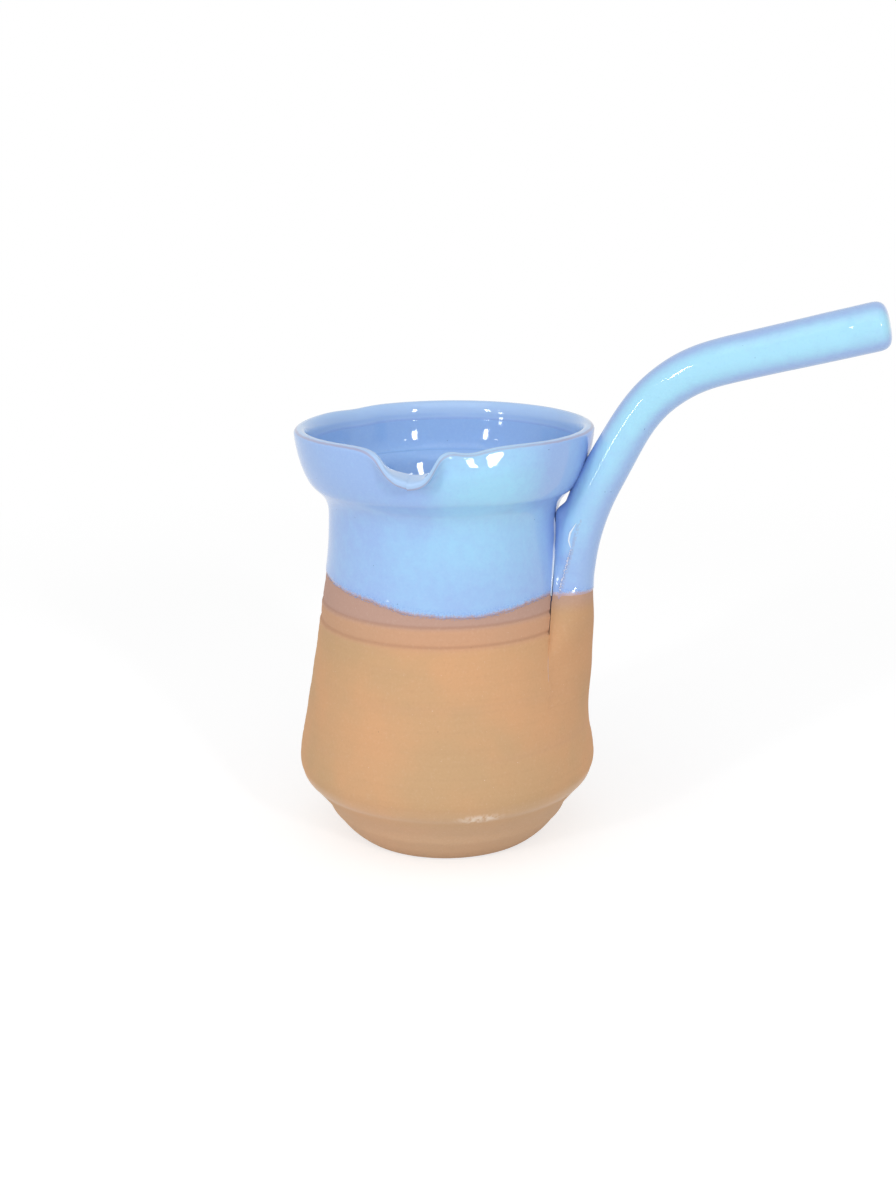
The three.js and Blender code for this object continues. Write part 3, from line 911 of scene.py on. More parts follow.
@dataclass
class RodRoute:
    """Route of the handle's centre line in its plane, from its luted foot to its tip."""

    outline: PotOutline
    rod_radius: float = 6.0
    proud: float = 7.15
    root_height: float = 62.0
    root_length: float = 17.0
    root_dive: float = 2.1
    lean: float = 61.8
    root_bend: float = 64.6
    leg: float = 15.62
    grip_bend: float = 36.0
    grip_rise: float = 14.0
    grip: float = 42.4
    flange_seat: float = 0.55
    bend_ease: float = 4.0
    samples: int = 200
    fine_step: float = 0.25
    aim_step: float = 0.3

    def __post_init__(self) -> None:
        """Samples the route finely, as distance from the axis and height."""
        lean, rise = math.radians(self.lean), math.radians(self.grip_rise)
        away = np.array([math.sin(lean), -math.cos(lean)])
        flange = np.linspace(SHOULDER, LIP, 2 * self.samples)
        skin, _ = self.outline.skin(self.outline.curves(*np.zeros((2, 1))), flange[None])
        offset = float((skin[0] @ away).max()) + self.rod_radius - self.flange_seat
        self.root_radius = float(self.outline.radius_at(self.root_height)) + self.proud - self.rod_radius
        corner = (self.root_radius * math.sin(lean) - offset) / math.cos(lean)
        tangent = self.root_bend * math.tan((math.pi / 2 - lean) / 2)
        bend_start = np.array([self.root_radius, corner - tangent])
        centre = bend_start + [self.root_bend, 0.0]
        leg_start = centre - away * self.root_bend
        leg_end = leg_start + np.array([math.cos(lean), math.sin(lean)]) * self.leg
        grip_centre = leg_end + away * self.grip_bend
        grip_start = grip_centre - np.array([math.sin(rise), -math.cos(rise)]) * self.grip_bend
        grip_end = grip_start + np.array([math.cos(rise), math.sin(rise)]) * self.grip
        foot = np.array([self.root_radius - self.root_dive, self.root_height - self.root_length])
        middle = np.array([self.root_radius, self.root_height - self.root_length / 2])
        root_end = np.array([self.root_radius, self.root_height])
        t = np.linspace(0.0, 1.0, self.samples)[:, None]
        level, leant, raised = math.pi, math.pi / 2 + lean, math.pi / 2 + rise
        route = np.concatenate([
            foot * (1 - t) ** 2 + 2 * middle * t * (1 - t) + root_end * t**2,
            blend(root_end, bend_start, t)[1:],
            arc(centre, self.root_bend, level, leant, t)[1:],
            blend(leg_start, leg_end, t)[1:],
            arc(grip_centre, self.grip_bend, leant, raised, t)[1:],
            blend(grip_start, grip_end, t)[1:],
        ])
        route = self.softened(route)
        steps = np.linalg.norm(np.diff(route, axis=0), axis=1)
        self.points = route
        self.distance = np.concatenate([[0.0], np.cumsum(steps)])
        self.length = float(self.distance[-1])

    def softened(self, route: Array) -> Array:
        """Eases the bends of a route into its straight parts, with its ends kept.

        Args:
            route: Points, one row each.

        Returns:
            Evenly spaced points.
        """
        steps = np.linalg.norm(np.diff(route, axis=0), axis=1)
        distance = np.concatenate([[0.0], np.cumsum(steps)])
        even = np.arange(0.0, distance[-1], self.fine_step)
        spaced = np.stack([np.interp(even, distance, route[:, i]) for i in (0, 1)], axis=-1)
        reach = int(3 * self.bend_ease / self.fine_step)
        weight = np.exp(-0.5 * (np.arange(-reach, reach + 1) * self.fine_step / self.bend_ease) ** 2)
        weight /= weight.sum()
        before = 2 * spaced[0] - spaced[reach:0:-1]
        after = 2 * spaced[-1] - spaced[-2 : -reach - 2 : -1]
        padded = np.concatenate([before, spaced, after])
        eased = np.stack([np.convolve(padded[:, i], weight, "valid") for i in (0, 1)], axis=-1)
        return np.concatenate([eased, route[-1:]])

    def at(self, distance: Array) -> tuple[Array, Array]:
        """Centres and directions at distances along the route, in the handle's plane.

        Args:
            distance: Distances along the route.

        Returns:
            Centres and unit directions.
        """
        centre = np.stack([np.interp(distance, self.distance, self.points[:, i]) for i in (0, 1)], axis=-1)
        near = np.clip(distance, self.aim_step, self.length - self.aim_step)
        ahead, behind = (
            np.stack([np.interp(near + step, self.distance, self.points[:, i]) for i in (0, 1)], axis=-1)
            for step in (self.aim_step, -self.aim_step)
        )
        direction = ahead - behind
        return centre, direction / np.linalg.norm(direction, axis=-1, keepdims=True)

    def distance_at(self, height: float) -> float:
        """Distance along the route at which the centre reaches a height."""
        return float(np.interp(height, self.points[:, 1], self.distance))


@dataclass
class LutedRoot:
    """The thumbed swelling round the handle's foot, as a function over the wall."""

    outline: PotOutline
    route: RodRoute
    bottom: float = 22.0
    middle: float = 48.0
    top: float = 78.0
    half_width: float = 16.3
    top_half_width: float = 5.0
    narrowing: float = 1.35
    spread: float = 0.45
    fade: float = 30.0
    sink: float = 0.15
    soft_below: float = 52.0
    crisp_above: float = 63.0
    merge: Pair = (70.0, 79.0)
    contact_turn: float = 2.2
    tail_depth: float = 2.5
    slump: Triple = (0.42, 66.0, 50.0)

    def half_width_at(self, height: Array) -> Array:
        """Half the swelling's width at a height, measured round the wall.

        Args:
            height: Heights.

        Returns:
            Half the width at each height.
        """
        down = np.clip(self.middle - height, 0.0, None)
        up = np.clip((height - self.middle) / (self.top - self.middle), 0.0, None)
        narrowed = self.half_width - (self.half_width - self.top_half_width) * up**self.narrowing
        return np.maximum(narrowed + self.spread * down, 0.0)

    def stand_at(self, share: Array, height: Array) -> Array:
        """How far the swelling stands out of the wall, at a share of its half width.

        Args:
            share: Share of the half width.
            height: Heights.

        Returns:
            Distance out of the wall.
        """
        crest = self.route.root_radius + self.route.rod_radius - self.outline.radius_at(height)
        slumped, *reach = self.slump
        crest = crest - slumped * ease(height, *reach)
        fade = ease(height, self.bottom, self.bottom + self.fade)
        inside = np.clip(1.0 - share**2, 0.0, 1.0)
        crisp = ease(height, self.soft_below, self.crisp_above)
        return crest * fade * blend(inside**1.5, np.sqrt(inside), crisp) - self.sink * (1.0 - fade)

    def plan(self, turn: Array, height: Array, proud: Values) -> Array:
        """Points of the swelling in plan, round the rod's centre.

        Args:
            turn: Angle round the rod's centre, 0 away from the pot, in radians.
            height: Heights of the points.
            proud: How far outside the plain surface the points lie.

        Returns:
            Distance out along the handle's plane and sideways.
        """
        wall = self.outline.radius_at(height)
        across = np.clip(turn / self.contact_turn, -1.0, 1.0)
        share = np.sin(across * math.pi / 2)
        past = np.clip((np.abs(turn) - self.contact_turn) / (math.pi - self.contact_turn), 0.0, 1.0)
        angle = share * self.half_width_at(height) / wall * (1.0 - past)
        radius = wall + self.stand_at(share, height) + proud - self.tail_depth * np.sqrt(past)
        return np.stack([radius * np.cos(angle), radius * np.sin(angle)], axis=-1)


@dataclass(frozen=True)
class CornerBead:
    """Sizes of a narrow bead in the corner between the rod, or its root, and the wall."""

    name: str
    low: float
    high: float
    out: float
    away: float
    radius: float
    thin_start: float
    grown: float
    fade: Pair | None
    least: float

    def radius_at(self, share: Array) -> Array:
        """Radius of the bead at shares of its length.

        Args:
            share: From 0 at the low end to 1 at the high end.

        Returns:
            The radius at each share.
        """
        radius = self.radius * blend(self.thin_start, 1.0, ease(share, 0.0, self.grown))
        if self.fade:
            radius = radius * ease(1.0 - share, *self.fade)
        return radius + self.least


@dataclass(frozen=True)
class TipDent:
    """A soft dent that a finger pressed beside the handle's tip."""

    back: float = 10.5
    length: float = 2.3
    turn: float = -1.75
    width: float = 0.75
    depth: float = 0.40

    def depth_at(self, from_tip: Array, turn: Array) -> Array:
        """Depth at distances from the tip and angles round the rod."""
        lengthwise, sideways = (from_tip - self.back) / self.length, (turn - self.turn) / self.width
        return self.depth * np.exp(-(lengthwise**2) - sideways**2)


@dataclass
class PulledHandle:
    """The pulled rod, its coat of glaze, the luted root, and the beads along the joint: a glaze bead and a
    slip line with painted highlights, and a painted shadow in the crack.
    """

    outline: PotOutline
    dip_line: DipLine
    route: RodRoute
    root: LutedRoot
    sides: int = 112
    ring_step: float = 0.55
    tip_rounding: float = 3.6
    tip_rows: int = 22
    tip_fullness: float = 1.7
    pulled_thin: Triple = (0.36, 78.0, 14.0)
    full_tip: Triple = (0.12, 112.0, 132.0)
    core_inset: float = 0.5
    coat: Coat = Coat()
    coat_start: float = 71.0
    feather_extra: float = 0.10
    tuck: float = 0.60
    wobble: float = 0.10
    ridge_height: float = 0.16
    ridge_width: float = 0.40
    ridge_turns: Pair = (-1.85, -1.55)
    ridge_reach: Pair = (68.0, 84.0)
    ridge_end: Pair = (92.0, 96.0)
    ridge_far: float = 8.0
    froth_proud: float = 0.14
    froth_turn: float = -0.07
    froth_heights: Span = (73.5, 84.2, 80)
    web_top: Pair = (92.3, 96.5)
    web_spread: float = 0.8
    wall_overlap: float = 0.15
    wall_bulge: float = 0.38
    tip_dent: TipDent = TipDent()
    # Painted light: the rod's side that faces the camera and the lamps gets the lit cyan tone, more of it up
    # the leg and on the grip.
    lit_turn: float = -95.0
    lit_width: Pair = (0.55, 1.0)
    lit_depths: Triple = (0.05, 0.60, 0.40)
    lit_leg: Pair = (72.0, 98.0)
    lit_grip: Pair = (98.0, 122.0)
    root_sides: int = 180
    root_rows: tuple[Span, ...] = ((22.0, 48.0, 50), (48.4, 78.5, 80))
    foot_below_glaze: float = 40.0
    # Painted highlight: this glaze bead gets a near-white finish and reads as the bright line on the wall
    # beside the rod.
    glint_meniscus: CornerBead = CornerBead(
        "glaze_meniscus_painted_glint", low=71.8, high=91.5, out=0.02, away=0.52,
        radius=0.33, thin_start=0.45, grown=0.4, fade=(-0.05, 0.15), least=0.0,
    )
    # Painted shadow: a near-black bead laid in the crack between the root and the wall.
    crack_shadow: CornerBead = CornerBead(
        "crack_shadow", low=56.2, high=90.8, out=0.05, away=-0.02,
        radius=0.17, thin_start=0.0, grown=0.35, fade=(-0.1, 0.1), least=0.02,
    )
    # The slip line is a raised bead whose lighter finish is a painted highlight along its crest.
    slip_line: CornerBead = CornerBead(
        "slip_line", low=48.0, high=57.0, out=-0.03, away=0.10,
        radius=0.16, thin_start=0.0, grown=0.6, fade=None, least=0.02,
    )
    run_heights: Pair = (91.4, 84.4)
    run_shares: tuple[float, ...] = (0.0, 0.4, 0.7, 1.0)
    run_turns: tuple[float, ...] = (-0.12, -0.27, -0.24, -0.05)
    run_turn: float = -1.56
    run_radius: float = 0.27
    run_sunk: float = 0.02

    def girth(self, distance: Array) -> Array:
        """Radius of the rod over its glaze: pulled thinner at the bend, fuller at the tip."""
        (thinner, at, width), (fuller, *reach) = self.pulled_thin, self.full_tip
        return self.route.rod_radius - thinner * hump(distance, at, width) + fuller * ease(distance, *reach)

    def stations(self, start: float, end: float, trim: float) -> tuple[Array, Array]:
        """Distances along the route and the rod's radius there, closing at the rounded tip.

        Args:
            start: Distance at which the rod starts.
            end: Distance of the tip.
            trim: How much thinner the rod is than the glazed one.

        Returns:
            Distances and radii.
        """
        side = np.arange(start, end - self.tip_rounding, self.ring_step)
        t = np.linspace(0.0, 1.0, self.tip_rows)
        tip = end - self.tip_rounding * (1 - t) ** 3
        full = self.girth(tip) - trim
        round_off = full * ((1 - t) ** 3 + 3 * (1 - t) ** 2 * t + self.tip_fullness * (1 - t) * t**2)
        radius = np.concatenate([self.girth(side) - trim, np.maximum(round_off, 1e-3)])
        return np.concatenate([side, tip]), radius

    def swept(self, name: str, start: float, end: float, trim: float, closed_foot: bool) -> Piece:
        """Sweeps a rod along the route with geometry nodes and turns the result into a plain mesh.

        Args:
            name: Name of the piece.
            start: Distance at which the rod starts.
            end: Distance of the tip.
            trim: How much thinner the rod is than the glazed one.
            closed_foot: True for a solid rod, False for one whose foot stays open.

        Returns:
            The object, with the distance along the route in the mark "along".
        """
        distance, radius = self.stations(start, end, trim)
        centre, _ = self.route.at(distance)
        path = np.stack([centre[:, 0], np.zeros(len(centre)), centre[:, 1]], axis=-1)
        piece = line_piece(name, path, {"girth": radius * MM, "along": distance})
        settings = {"Sides": self.sides, "Wobble": self.wobble * MM, "Closed Foot": closed_foot}
        return with_nodes(piece, rod_tree(), settings)

    def flared(self, piece: Piece) -> dict[str, Array]:
        """Moves the coat's lower rings out to the thumbed root and raises the ridge along its flank.

        Args:
            piece: The coat as a swept rod.

        Returns:
            The marks of the points: distance past the dip's edge, distance from the ridge and the
                painted-light share.
        """
        mesh = piece.data
        count = len(mesh.vertices)
        points = np.empty(count * 3, np.float32)
        mesh.vertices.foreach_get("co", points)
        points = points.reshape(-1, 3).astype(float) / MM
        along = np.empty(count, np.float32)
        mesh.attributes["along"].data.foreach_get("value", along)
        centre, direction = self.route.at(along.astype(float))
        away = np.stack([direction[:, 1], -direction[:, 0]], axis=-1)
        from_centre = points[:, [0, 2]] - centre
        out = np.sum(from_centre * away, axis=1)
        turn, size = np.arctan2(points[:, 1], out), np.hypot(points[:, 1], out)
        height = points[:, 2]
        past = height - self.dip_line.height(np.arctan2(points[:, 1], points[:, 0]))
        from_ridge = np.abs(turn - self.ridge_turn_at(height)) * size
        from_ridge = from_ridge + self.ridge_far * ease(height, *self.ridge_end)
        proud = self.ridge_height * hump(from_ridge, 0.0, self.ridge_width)
        proud = -self.coat.feather(past, self.feather_extra) + proud
        lift = proud - self.tip_dent.depth_at(self.route.length - along, turn)
        near = (height < self.web_top[1]) & (size > 1.0)
        lift = lift + near * (self.pressed(turn, height, size, centre[:, 0]) - size)
        grown = (size + lift * (size > 1.0)) / np.maximum(size, 1e-6)
        points[:, [0, 2]] = centre + from_centre * grown[:, None]
        points[:, 1] *= grown
        weight = 1.0 - ease(height, *self.root.merge)
        plan = self.root.plan(turn, height, proud)
        points[:, :2] = blend(points[:, :2], plan, weight[:, None])
        mesh.vertices.foreach_set("co", (points * MM).astype(np.float32).ravel())
        return {"edge": past, "ridge": from_ridge, "light_and_tone_share": self.painted_light_at(turn, height)}

    def painted_light_at(self, turn: Array, height: Array) -> Array:
        """Painted light on the rod, from 0 to 1: highest along the side that faces the camera and the lamps,
        and higher up the leg and on the grip.

        Args:
            turn: Angles round the rod, in radians.
            height: Heights.

        Returns:
            The share at each point.
        """
        least, on_leg, on_grip = self.lit_depths
        deep = blend(least, on_leg, ease(height, *self.lit_leg)) + on_grip * ease(height, *self.lit_grip)
        return ease(np.cos(turn - math.radians(self.lit_turn)), *self.lit_width) * deep

    def ridge_turn_at(self, height: Array) -> Array:
        """Angle round the rod at which the ridge runs."""
        return blend(*self.ridge_turns, ease(height, *self.ridge_reach))

    def clay_rod(self) -> Piece:
        """The clay rod under the glaze and the slip.

        Returns:
            The piece.
        """
        piece = self.swept("pulled_handle", 0.0, self.route.length - self.core_inset, self.core_inset, True)
        close_and_turn(piece.data)
        return piece

    def glaze_coat(self) -> Piece:
        """The coat on the rod, from the dip's edge to the tip.

        Returns:
            The piece.
        """
        start = self.route.distance_at(self.coat_start)
        piece = self.swept("handle_coat", start, self.route.length, 0.0, False)
        for name, values in self.flared(piece).items():
            set_mark(piece.data, name, values)
        close_and_turn(piece.data)
        thicken = piece.modifiers.new("coat", "SOLIDIFY")
        thicken.thickness, thicken.offset = self.coat.thickness * MM, -1.0
        return plain(piece)

    def luted_root(self) -> Piece:
        """The thumbed clay round the handle's foot, sunk into the wall behind.

        Returns:
            The piece.
        """
        turn = np.linspace(-math.pi, math.pi, self.root_sides + 1)[:-1]
        turns, heights = np.meshgrid(turn, spans(*self.root_rows))
        plan = self.ring(turns, heights, 0.0)
        above = heights - self.dip_line.height(np.arctan2(plan[..., 1], plan[..., 0]))
        plan = self.ring(turns, heights, -self.coat.clay_depth(above, self.tuck))
        rings = np.concatenate([plan, heights[..., None]], axis=-1)
        caps = [np.tile(ring.mean(axis=0), (1, len(turn), 1)) for ring in (rings[0], rings[-1])]
        foot = np.full((1, len(turn)), self.foot_below_glaze)
        below = np.concatenate([foot, -above, np.zeros((1, len(turn)))])
        return ring_piece("luted_root", np.concatenate([caps[0], rings, caps[1]]), {"below": below})

    def ring(self, turn: Array, height: Array, proud: Values) -> Array:
        """Plan of the handle's lower end: the thumbed root, which becomes the plain rod higher up.

        Args:
            turn: Angles round the rod, in radians.
            height: Heights.
            proud: Distance out of the plain surface.

        Returns:
            Distance out along the handle's plane and sideways.
        """
        distance = np.interp(height, self.route.points[:, 1], self.route.distance)
        centre, _ = self.route.at(distance)
        radius = self.pressed(turn, height, self.girth(distance), centre[..., 0]) + proud
        circle = np.stack([centre[..., 0] + radius * np.cos(turn), radius * np.sin(turn)], axis=-1)
        weight = (1.0 - ease(height, *self.root.merge))[..., None]
        return blend(circle, self.root.plan(turn, height, proud), weight)

    def pressed(
        self, turn: Array, height: Array, girth: Array, centre: Array
    ) -> Array:
        """Radius of the rod's section where it is pressed against the neck and drawn out to it.

        Args:
            turn: Angle round the rod's centre, 0 away from the pot, in radians.
            height: Heights of the points.
            girth: Radius of the free rod.
            centre: Distance of the rod's centre from the pot's axis.

        Returns:
            The radius at each point.
        """
        wall = self.outline.radius_at(height) - self.wall_overlap
        half = self.root.half_width_at(height)
        inward = np.sqrt(wall**2 - half**2) - centre
        corner = np.arctan2(half, inward)
        gain = np.maximum(np.hypot(half, inward) - girth, 0.0) * (1.0 - ease(height, *self.web_top))
        return girth + gain * ease(np.abs(turn), corner - self.web_spread, corner)

    def contact(self, height: float, side: Side) -> Array:
        """Point at which the root meets the wall at a height, on one side.

        Args:
            height: The height.
            side: Side of the handle.

        Returns:
            The point.
        """
        turn = np.linspace(0.8, math.pi, 400)
        ring = self.ring(turn, np.full(len(turn), height), 0.0)
        gap = np.hypot(ring[:, 0], ring[:, 1]) - self.outline.radius_at(height)
        inside = np.flatnonzero(gap < 0)
        found = ring[inside[0]] if len(inside) else ring[np.argmin(gap)]
        return np.array([found[0], side.value * abs(found[1]), height])

    def corner(self, sizes: CornerBead, side: Side) -> Array:
        """Points along the corner between root and wall, out of the wall and away from the corner.

        Args:
            sizes: Sizes of the bead that follows the corner.
            side: Side of the handle.

        Returns:
            Points, one row each.
        """
        path = np.array([self.contact(height, side) for height in np.linspace(sizes.low, sizes.high, 90)])
        bulge = self.wall_bulge * (path[:, 2] / self.outline.lip_height) ** 4
        radius = np.hypot(path[:, 0], path[:, 1]) + bulge
        angle = np.arctan2(path[:, 1], path[:, 0]) + side.value * sizes.away / radius
        smooth = np.convolve(np.pad(angle, 4, "edge"), np.ones(9) / 9, "valid")
        out = radius + sizes.out
        path[:, 0], path[:, 1] = out * np.cos(smooth), out * np.sin(smooth)
        return path

    def corner_bead(self, sizes: CornerBead, side: Side, finish: Material) -> Piece:
        """A bead in the corner beside the rod, on one side.

        Args:
            sizes: The glaze bead with its painted highlight, the painted shadow in the open joint, or the
                line of slip under it with its painted highlight.
            side: Side of the handle.
            finish: Its material.

        Returns:
            The bead.
        """
        path = self.corner(sizes, side)
        radius = sizes.radius_at(np.linspace(0.0, 1.0, len(path)))
        return bead(f"{sizes.name}_{side.name.lower()}", path, radius, finish)

    def glint_run(self, finish: Material) -> Piece:
        """The small crooked bead of glaze beside the top of the ridge, with a near-white finish as a painted
        highlight.

        Args:
            finish: Its material.

        Returns:
            The piece.
        """
        share = np.linspace(0.0, 1.0, 40)
        height = blend(*self.run_heights, share)
        turn = self.run_turn + np.interp(share, self.run_shares, self.run_turns)
        plan = self.ring(turn, height, self.run_sunk)
        size = self.run_radius * np.sin(math.pi * np.clip(share, 0.03, 0.97)) ** 0.8
        return bead("glaze_run_painted_glint", np.concatenate([plan, height[:, None]], axis=-1), size, finish)

    def ridge_path(self) -> Array:
        """Points along the crest of the ridge on the rod's flank.

        Returns:
            Points, one row each.
        """
        height = np.linspace(*self.froth_heights)
        turn = self.ridge_turn_at(height) + self.froth_turn
        plan = self.ring(turn, height, self.ridge_height + self.froth_proud)
        return np.concatenate([plan, height[:, None]], axis=-1)


# ---- geometry nodes


def new_tree(name: str, sockets: Sequence[tuple[str, str, float | int | bool]]) -> Tree:
    """Starts a geometry node tree with named inputs.

    Args:
        name: Name of the tree.
        sockets: Name, socket type and default of each input after the geometry.

    Returns:
        The tree, with its input and output nodes.
    """
    tree = bpy.data.node_groups.new(name, "GeometryNodeTree")
    tree.interface.new_socket("Geometry", in_out="INPUT", socket_type="NodeSocketGeometry")
    for label, kind, default in sockets:
        made = tree.interface.new_socket(label, in_out="INPUT", socket_type=kind)
        if default is not None:
            made.default_value = default
    tree.interface.new_socket("Geometry", in_out="OUTPUT", socket_type="NodeSocketGeometry")
    tree.nodes.new("NodeGroupInput")
    tree.nodes.new("NodeGroupOutput")
    return tree


def step(
    tree: Tree, kind: str, values: dict | None = None, **settings: object
) -> Node:
    """Adds a node: settings are its own options, values are socket defaults or sockets to link.

    Args:
        tree: The tree.
        kind: Type of the node.
        values: Defaults or links by input.
        settings: Options by name.

    Returns:
        The node.
    """
    node = tree.nodes.new(kind)
    for name, value in settings.items():
        setattr(node, name, value)
    for key, value in (values or {}).items():
        if isinstance(value, Socket):
            tree.links.new(value, node.inputs[key])
        else:
            node.inputs[key].default_value = value
    return node


def end_tree(tree: Tree, geometry: Socket) -> None:
    """Ends a tree: makes its instances real and gives them the tree's material.

    Args:
        tree: The tree.
        geometry: What it has made so far.
    """
    real = step(tree, "GeometryNodeRealizeInstances", {"Geometry": geometry})
    dressed = step(tree, "GeometryNodeSetMaterial", {
        "Geometry": real.outputs["Geometry"], "Material": tree.nodes["Group Input"].outputs["Material"],
    })
    tree.links.new(dressed.outputs["Geometry"], tree.nodes["Group Output"].inputs["Geometry"])


def with_nodes(
    piece: Piece, tree: Tree, settings: dict[str, object]
) -> Piece:
    """Runs a tree on a piece and keeps the result as its plain mesh.

    Args:
        piece: The piece, which is changed.
        tree: The tree.
        settings: Values of the tree's inputs by name.

    Returns:
        The piece.
    """
    modifier = piece.modifiers.new(tree.name, "NODES")
    modifier.node_group = tree
    for item in tree.interface.items_tree:
        if getattr(item, "in_out", "") == "INPUT" and item.name in settings:
            modifier[item.identifier] = settings[item.name]
    return plain(piece)


def plain(piece: Piece) -> Piece:
    """Replaces a piece's mesh by what its modifiers make of it, and removes them.

    Args:
        piece: The piece, which is changed.

    Returns:
        The piece.
    """
    bpy.context.view_layer.update()
    graph = bpy.context.evaluated_depsgraph_get()
    seen = piece.evaluated_get(graph)
    made = bpy.data.meshes.new_from_object(seen, preserve_all_data_layers=True, depsgraph=graph)
    piece.modifiers.clear()
    piece.data = made
    for polygon in made.polygons:
        polygon.use_smooth = True
    return piece


def rod_tree() -> Tree:
    """Tree that sweeps a round of varying girth along a line and lets the hand's waver show.

    Returns:
        The tree.
    """
    tree = new_tree("pulled rod", (
        ("Sides", "NodeSocketInt", 48),
        ("Wobble", "NodeSocketFloat", 0.0002),
        ("Closed Foot", "NodeSocketBool", False),
        ("Material", "NodeSocketMaterial", None),
    ))
    entry = tree.nodes["Group Input"]
    girth = step(tree, "GeometryNodeInputNamedAttribute", {"Name": "girth"}, data_type="FLOAT")
    curve = step(tree, "GeometryNodeMeshToCurve", {"Mesh": entry.outputs["Geometry"]})
    ring = step(tree, "GeometryNodeCurvePrimitiveCircle", {
        "Resolution": entry.outputs["Sides"], "Radius": 1.0,
    })
    tube = step(tree, "GeometryNodeCurveToMesh", {
        "Curve": curve.outputs["Curve"], "Profile Curve": ring.outputs["Curve"],
        "Scale": girth.outputs["Attribute"], "Fill Caps": entry.outputs["Closed Foot"],
    })
    place = step(tree, "GeometryNodeInputPosition")
    waver = step(tree, "ShaderNodeTexNoise", {
        "Vector": place.outputs["Position"], "Scale": 70.0, "Detail": 1.0, "Roughness": 0.4,
    })
    centred = step(tree, "ShaderNodeVectorMath", {
        0: waver.outputs["Color"], 1: (0.5, 0.5, 0.5),
    }, operation="SUBTRACT")
    doubled = step(tree, "ShaderNodeMath", {0: entry.outputs["Wobble"], 1: 2.0}, operation="MULTIPLY")
    offset = step(tree, "ShaderNodeVectorMath", {
        0: centred.outputs["Vector"], "Scale": doubled.outputs["Value"],
    }, operation="SCALE")
    moved = step(tree, "GeometryNodeSetPosition", {
        "Geometry": tube.outputs["Mesh"], "Offset": offset.outputs["Vector"],
    })
    end_tree(tree, moved.outputs["Geometry"])
    return tree


def bead(name: str, path: Array, radius: Array, finish: Material) -> Piece:
    """Sweeps a bead of glaze or slip of varying radius along a path.

    Args:
        name: Name of the piece.
        path: Points in millimetres.
        radius: Radius of the bead at each point.
        finish: Its material.

    Returns:
        The closed bead.
    """
    piece = line_piece(name, path, {"girth": radius * MM})
    settings = {"Sides": BEAD_SIDES, "Wobble": BEAD_WOBBLE, "Closed Foot": True, "Material": finish}
    with_nodes(piece, rod_tree(), settings)
    close_and_turn(piece.data)
    return piece


def froth_tree() -> Tree:
    """Tree that scatters burst bubbles and grains of glaze along a line.

    Returns:
        The tree.
    """
    tree = new_tree("glaze froth", (
        ("Count", "NodeSocketInt", 200),
        ("Spread", "NodeSocketVector", (0.0003, 0.0003, 0.0003)),
        ("Smallest", "NodeSocketFloat", 0.00004),
        ("Largest", "NodeSocketFloat", 0.00012),
        ("Seed", "NodeSocketInt", 1),
        ("Material", "NodeSocketMaterial", None),
    ))
    entry = tree.nodes["Group Input"]
    curve = step(tree, "GeometryNodeMeshToCurve", {"Mesh": entry.outputs["Geometry"]})
    points = step(tree, "GeometryNodeCurveToPoints", {
        "Curve": curve.outputs["Curve"], "Count": entry.outputs["Count"],
    }, mode="COUNT")
    back = step(tree, "ShaderNodeVectorMath", {0: entry.outputs["Spread"], "Scale": -1.0}, operation="SCALE")
    stray = step(tree, "FunctionNodeRandomValue", {
        "Min": back.outputs["Vector"], "Max": entry.outputs["Spread"], "Seed": entry.outputs["Seed"],
    }, data_type="FLOAT_VECTOR")
    strewn = step(tree, "GeometryNodeSetPosition", {
        "Geometry": points.outputs["Points"], "Offset": stray.outputs["Value"],
    })
    size = step(tree, "FunctionNodeRandomValue", data_type="FLOAT")
    floats = [socket for socket in size.inputs if socket.type == "VALUE"]
    tree.links.new(entry.outputs["Smallest"], floats[0])
    tree.links.new(entry.outputs["Largest"], floats[1])
    tree.links.new(entry.outputs["Seed"], size.inputs["Seed"])
    grain = step(tree, "GeometryNodeMeshIcoSphere", {"Radius": 1.0, "Subdivisions": 1})
    number = next(socket for socket in size.outputs if socket.type == "VALUE")
    spread = step(tree, "GeometryNodeInstanceOnPoints", {
        "Points": strewn.outputs["Geometry"], "Instance": grain.outputs["Mesh"], "Scale": number,
    })
    end_tree(tree, spread.outputs["Instances"])
    return tree


@dataclass(frozen=True)
class Froth:
    """Grains of glaze scattered along a line."""

    name: str
    count: int
    spread: Triple
    smallest: float
    largest: float
    seed: int

    def along(self, path: Array, finish: Material) -> Piece:
        """Scatters the grains along a path in millimetres.

        Args:
            path: Points, one row each.
            finish: Material of the grains.

        Returns:
            The piece.
        """
        return with_nodes(line_piece(self.name, path), froth_tree(), {
            "Count": self.count, "Spread": [value * MM for value in self.spread],
            "Smallest": self.smallest * MM, "Largest": self.largest * MM,
            "Seed": self.seed, "Material": finish,
        })


# ---- finishes


@dataclass(frozen=True)
class Grain:
    """A noise over the object, with features about 1/scale metres wide before it is stretched."""

    scale: float
    detail: float = 2.0
    stretch: Triple = (1.0, 1.0, 1.0)


@dataclass(frozen=True)
class Veil:
    """How strongly a colour shows: not at all at low, by its share at high."""

    low: float
    high: float
    share: float


@dataclass(frozen=True)
class Dots:
    """Small round dots: how close they lie, how few of them show, and how big they are."""

    scale: float
    chosen: float
    size: float
    softness: float = 0.02


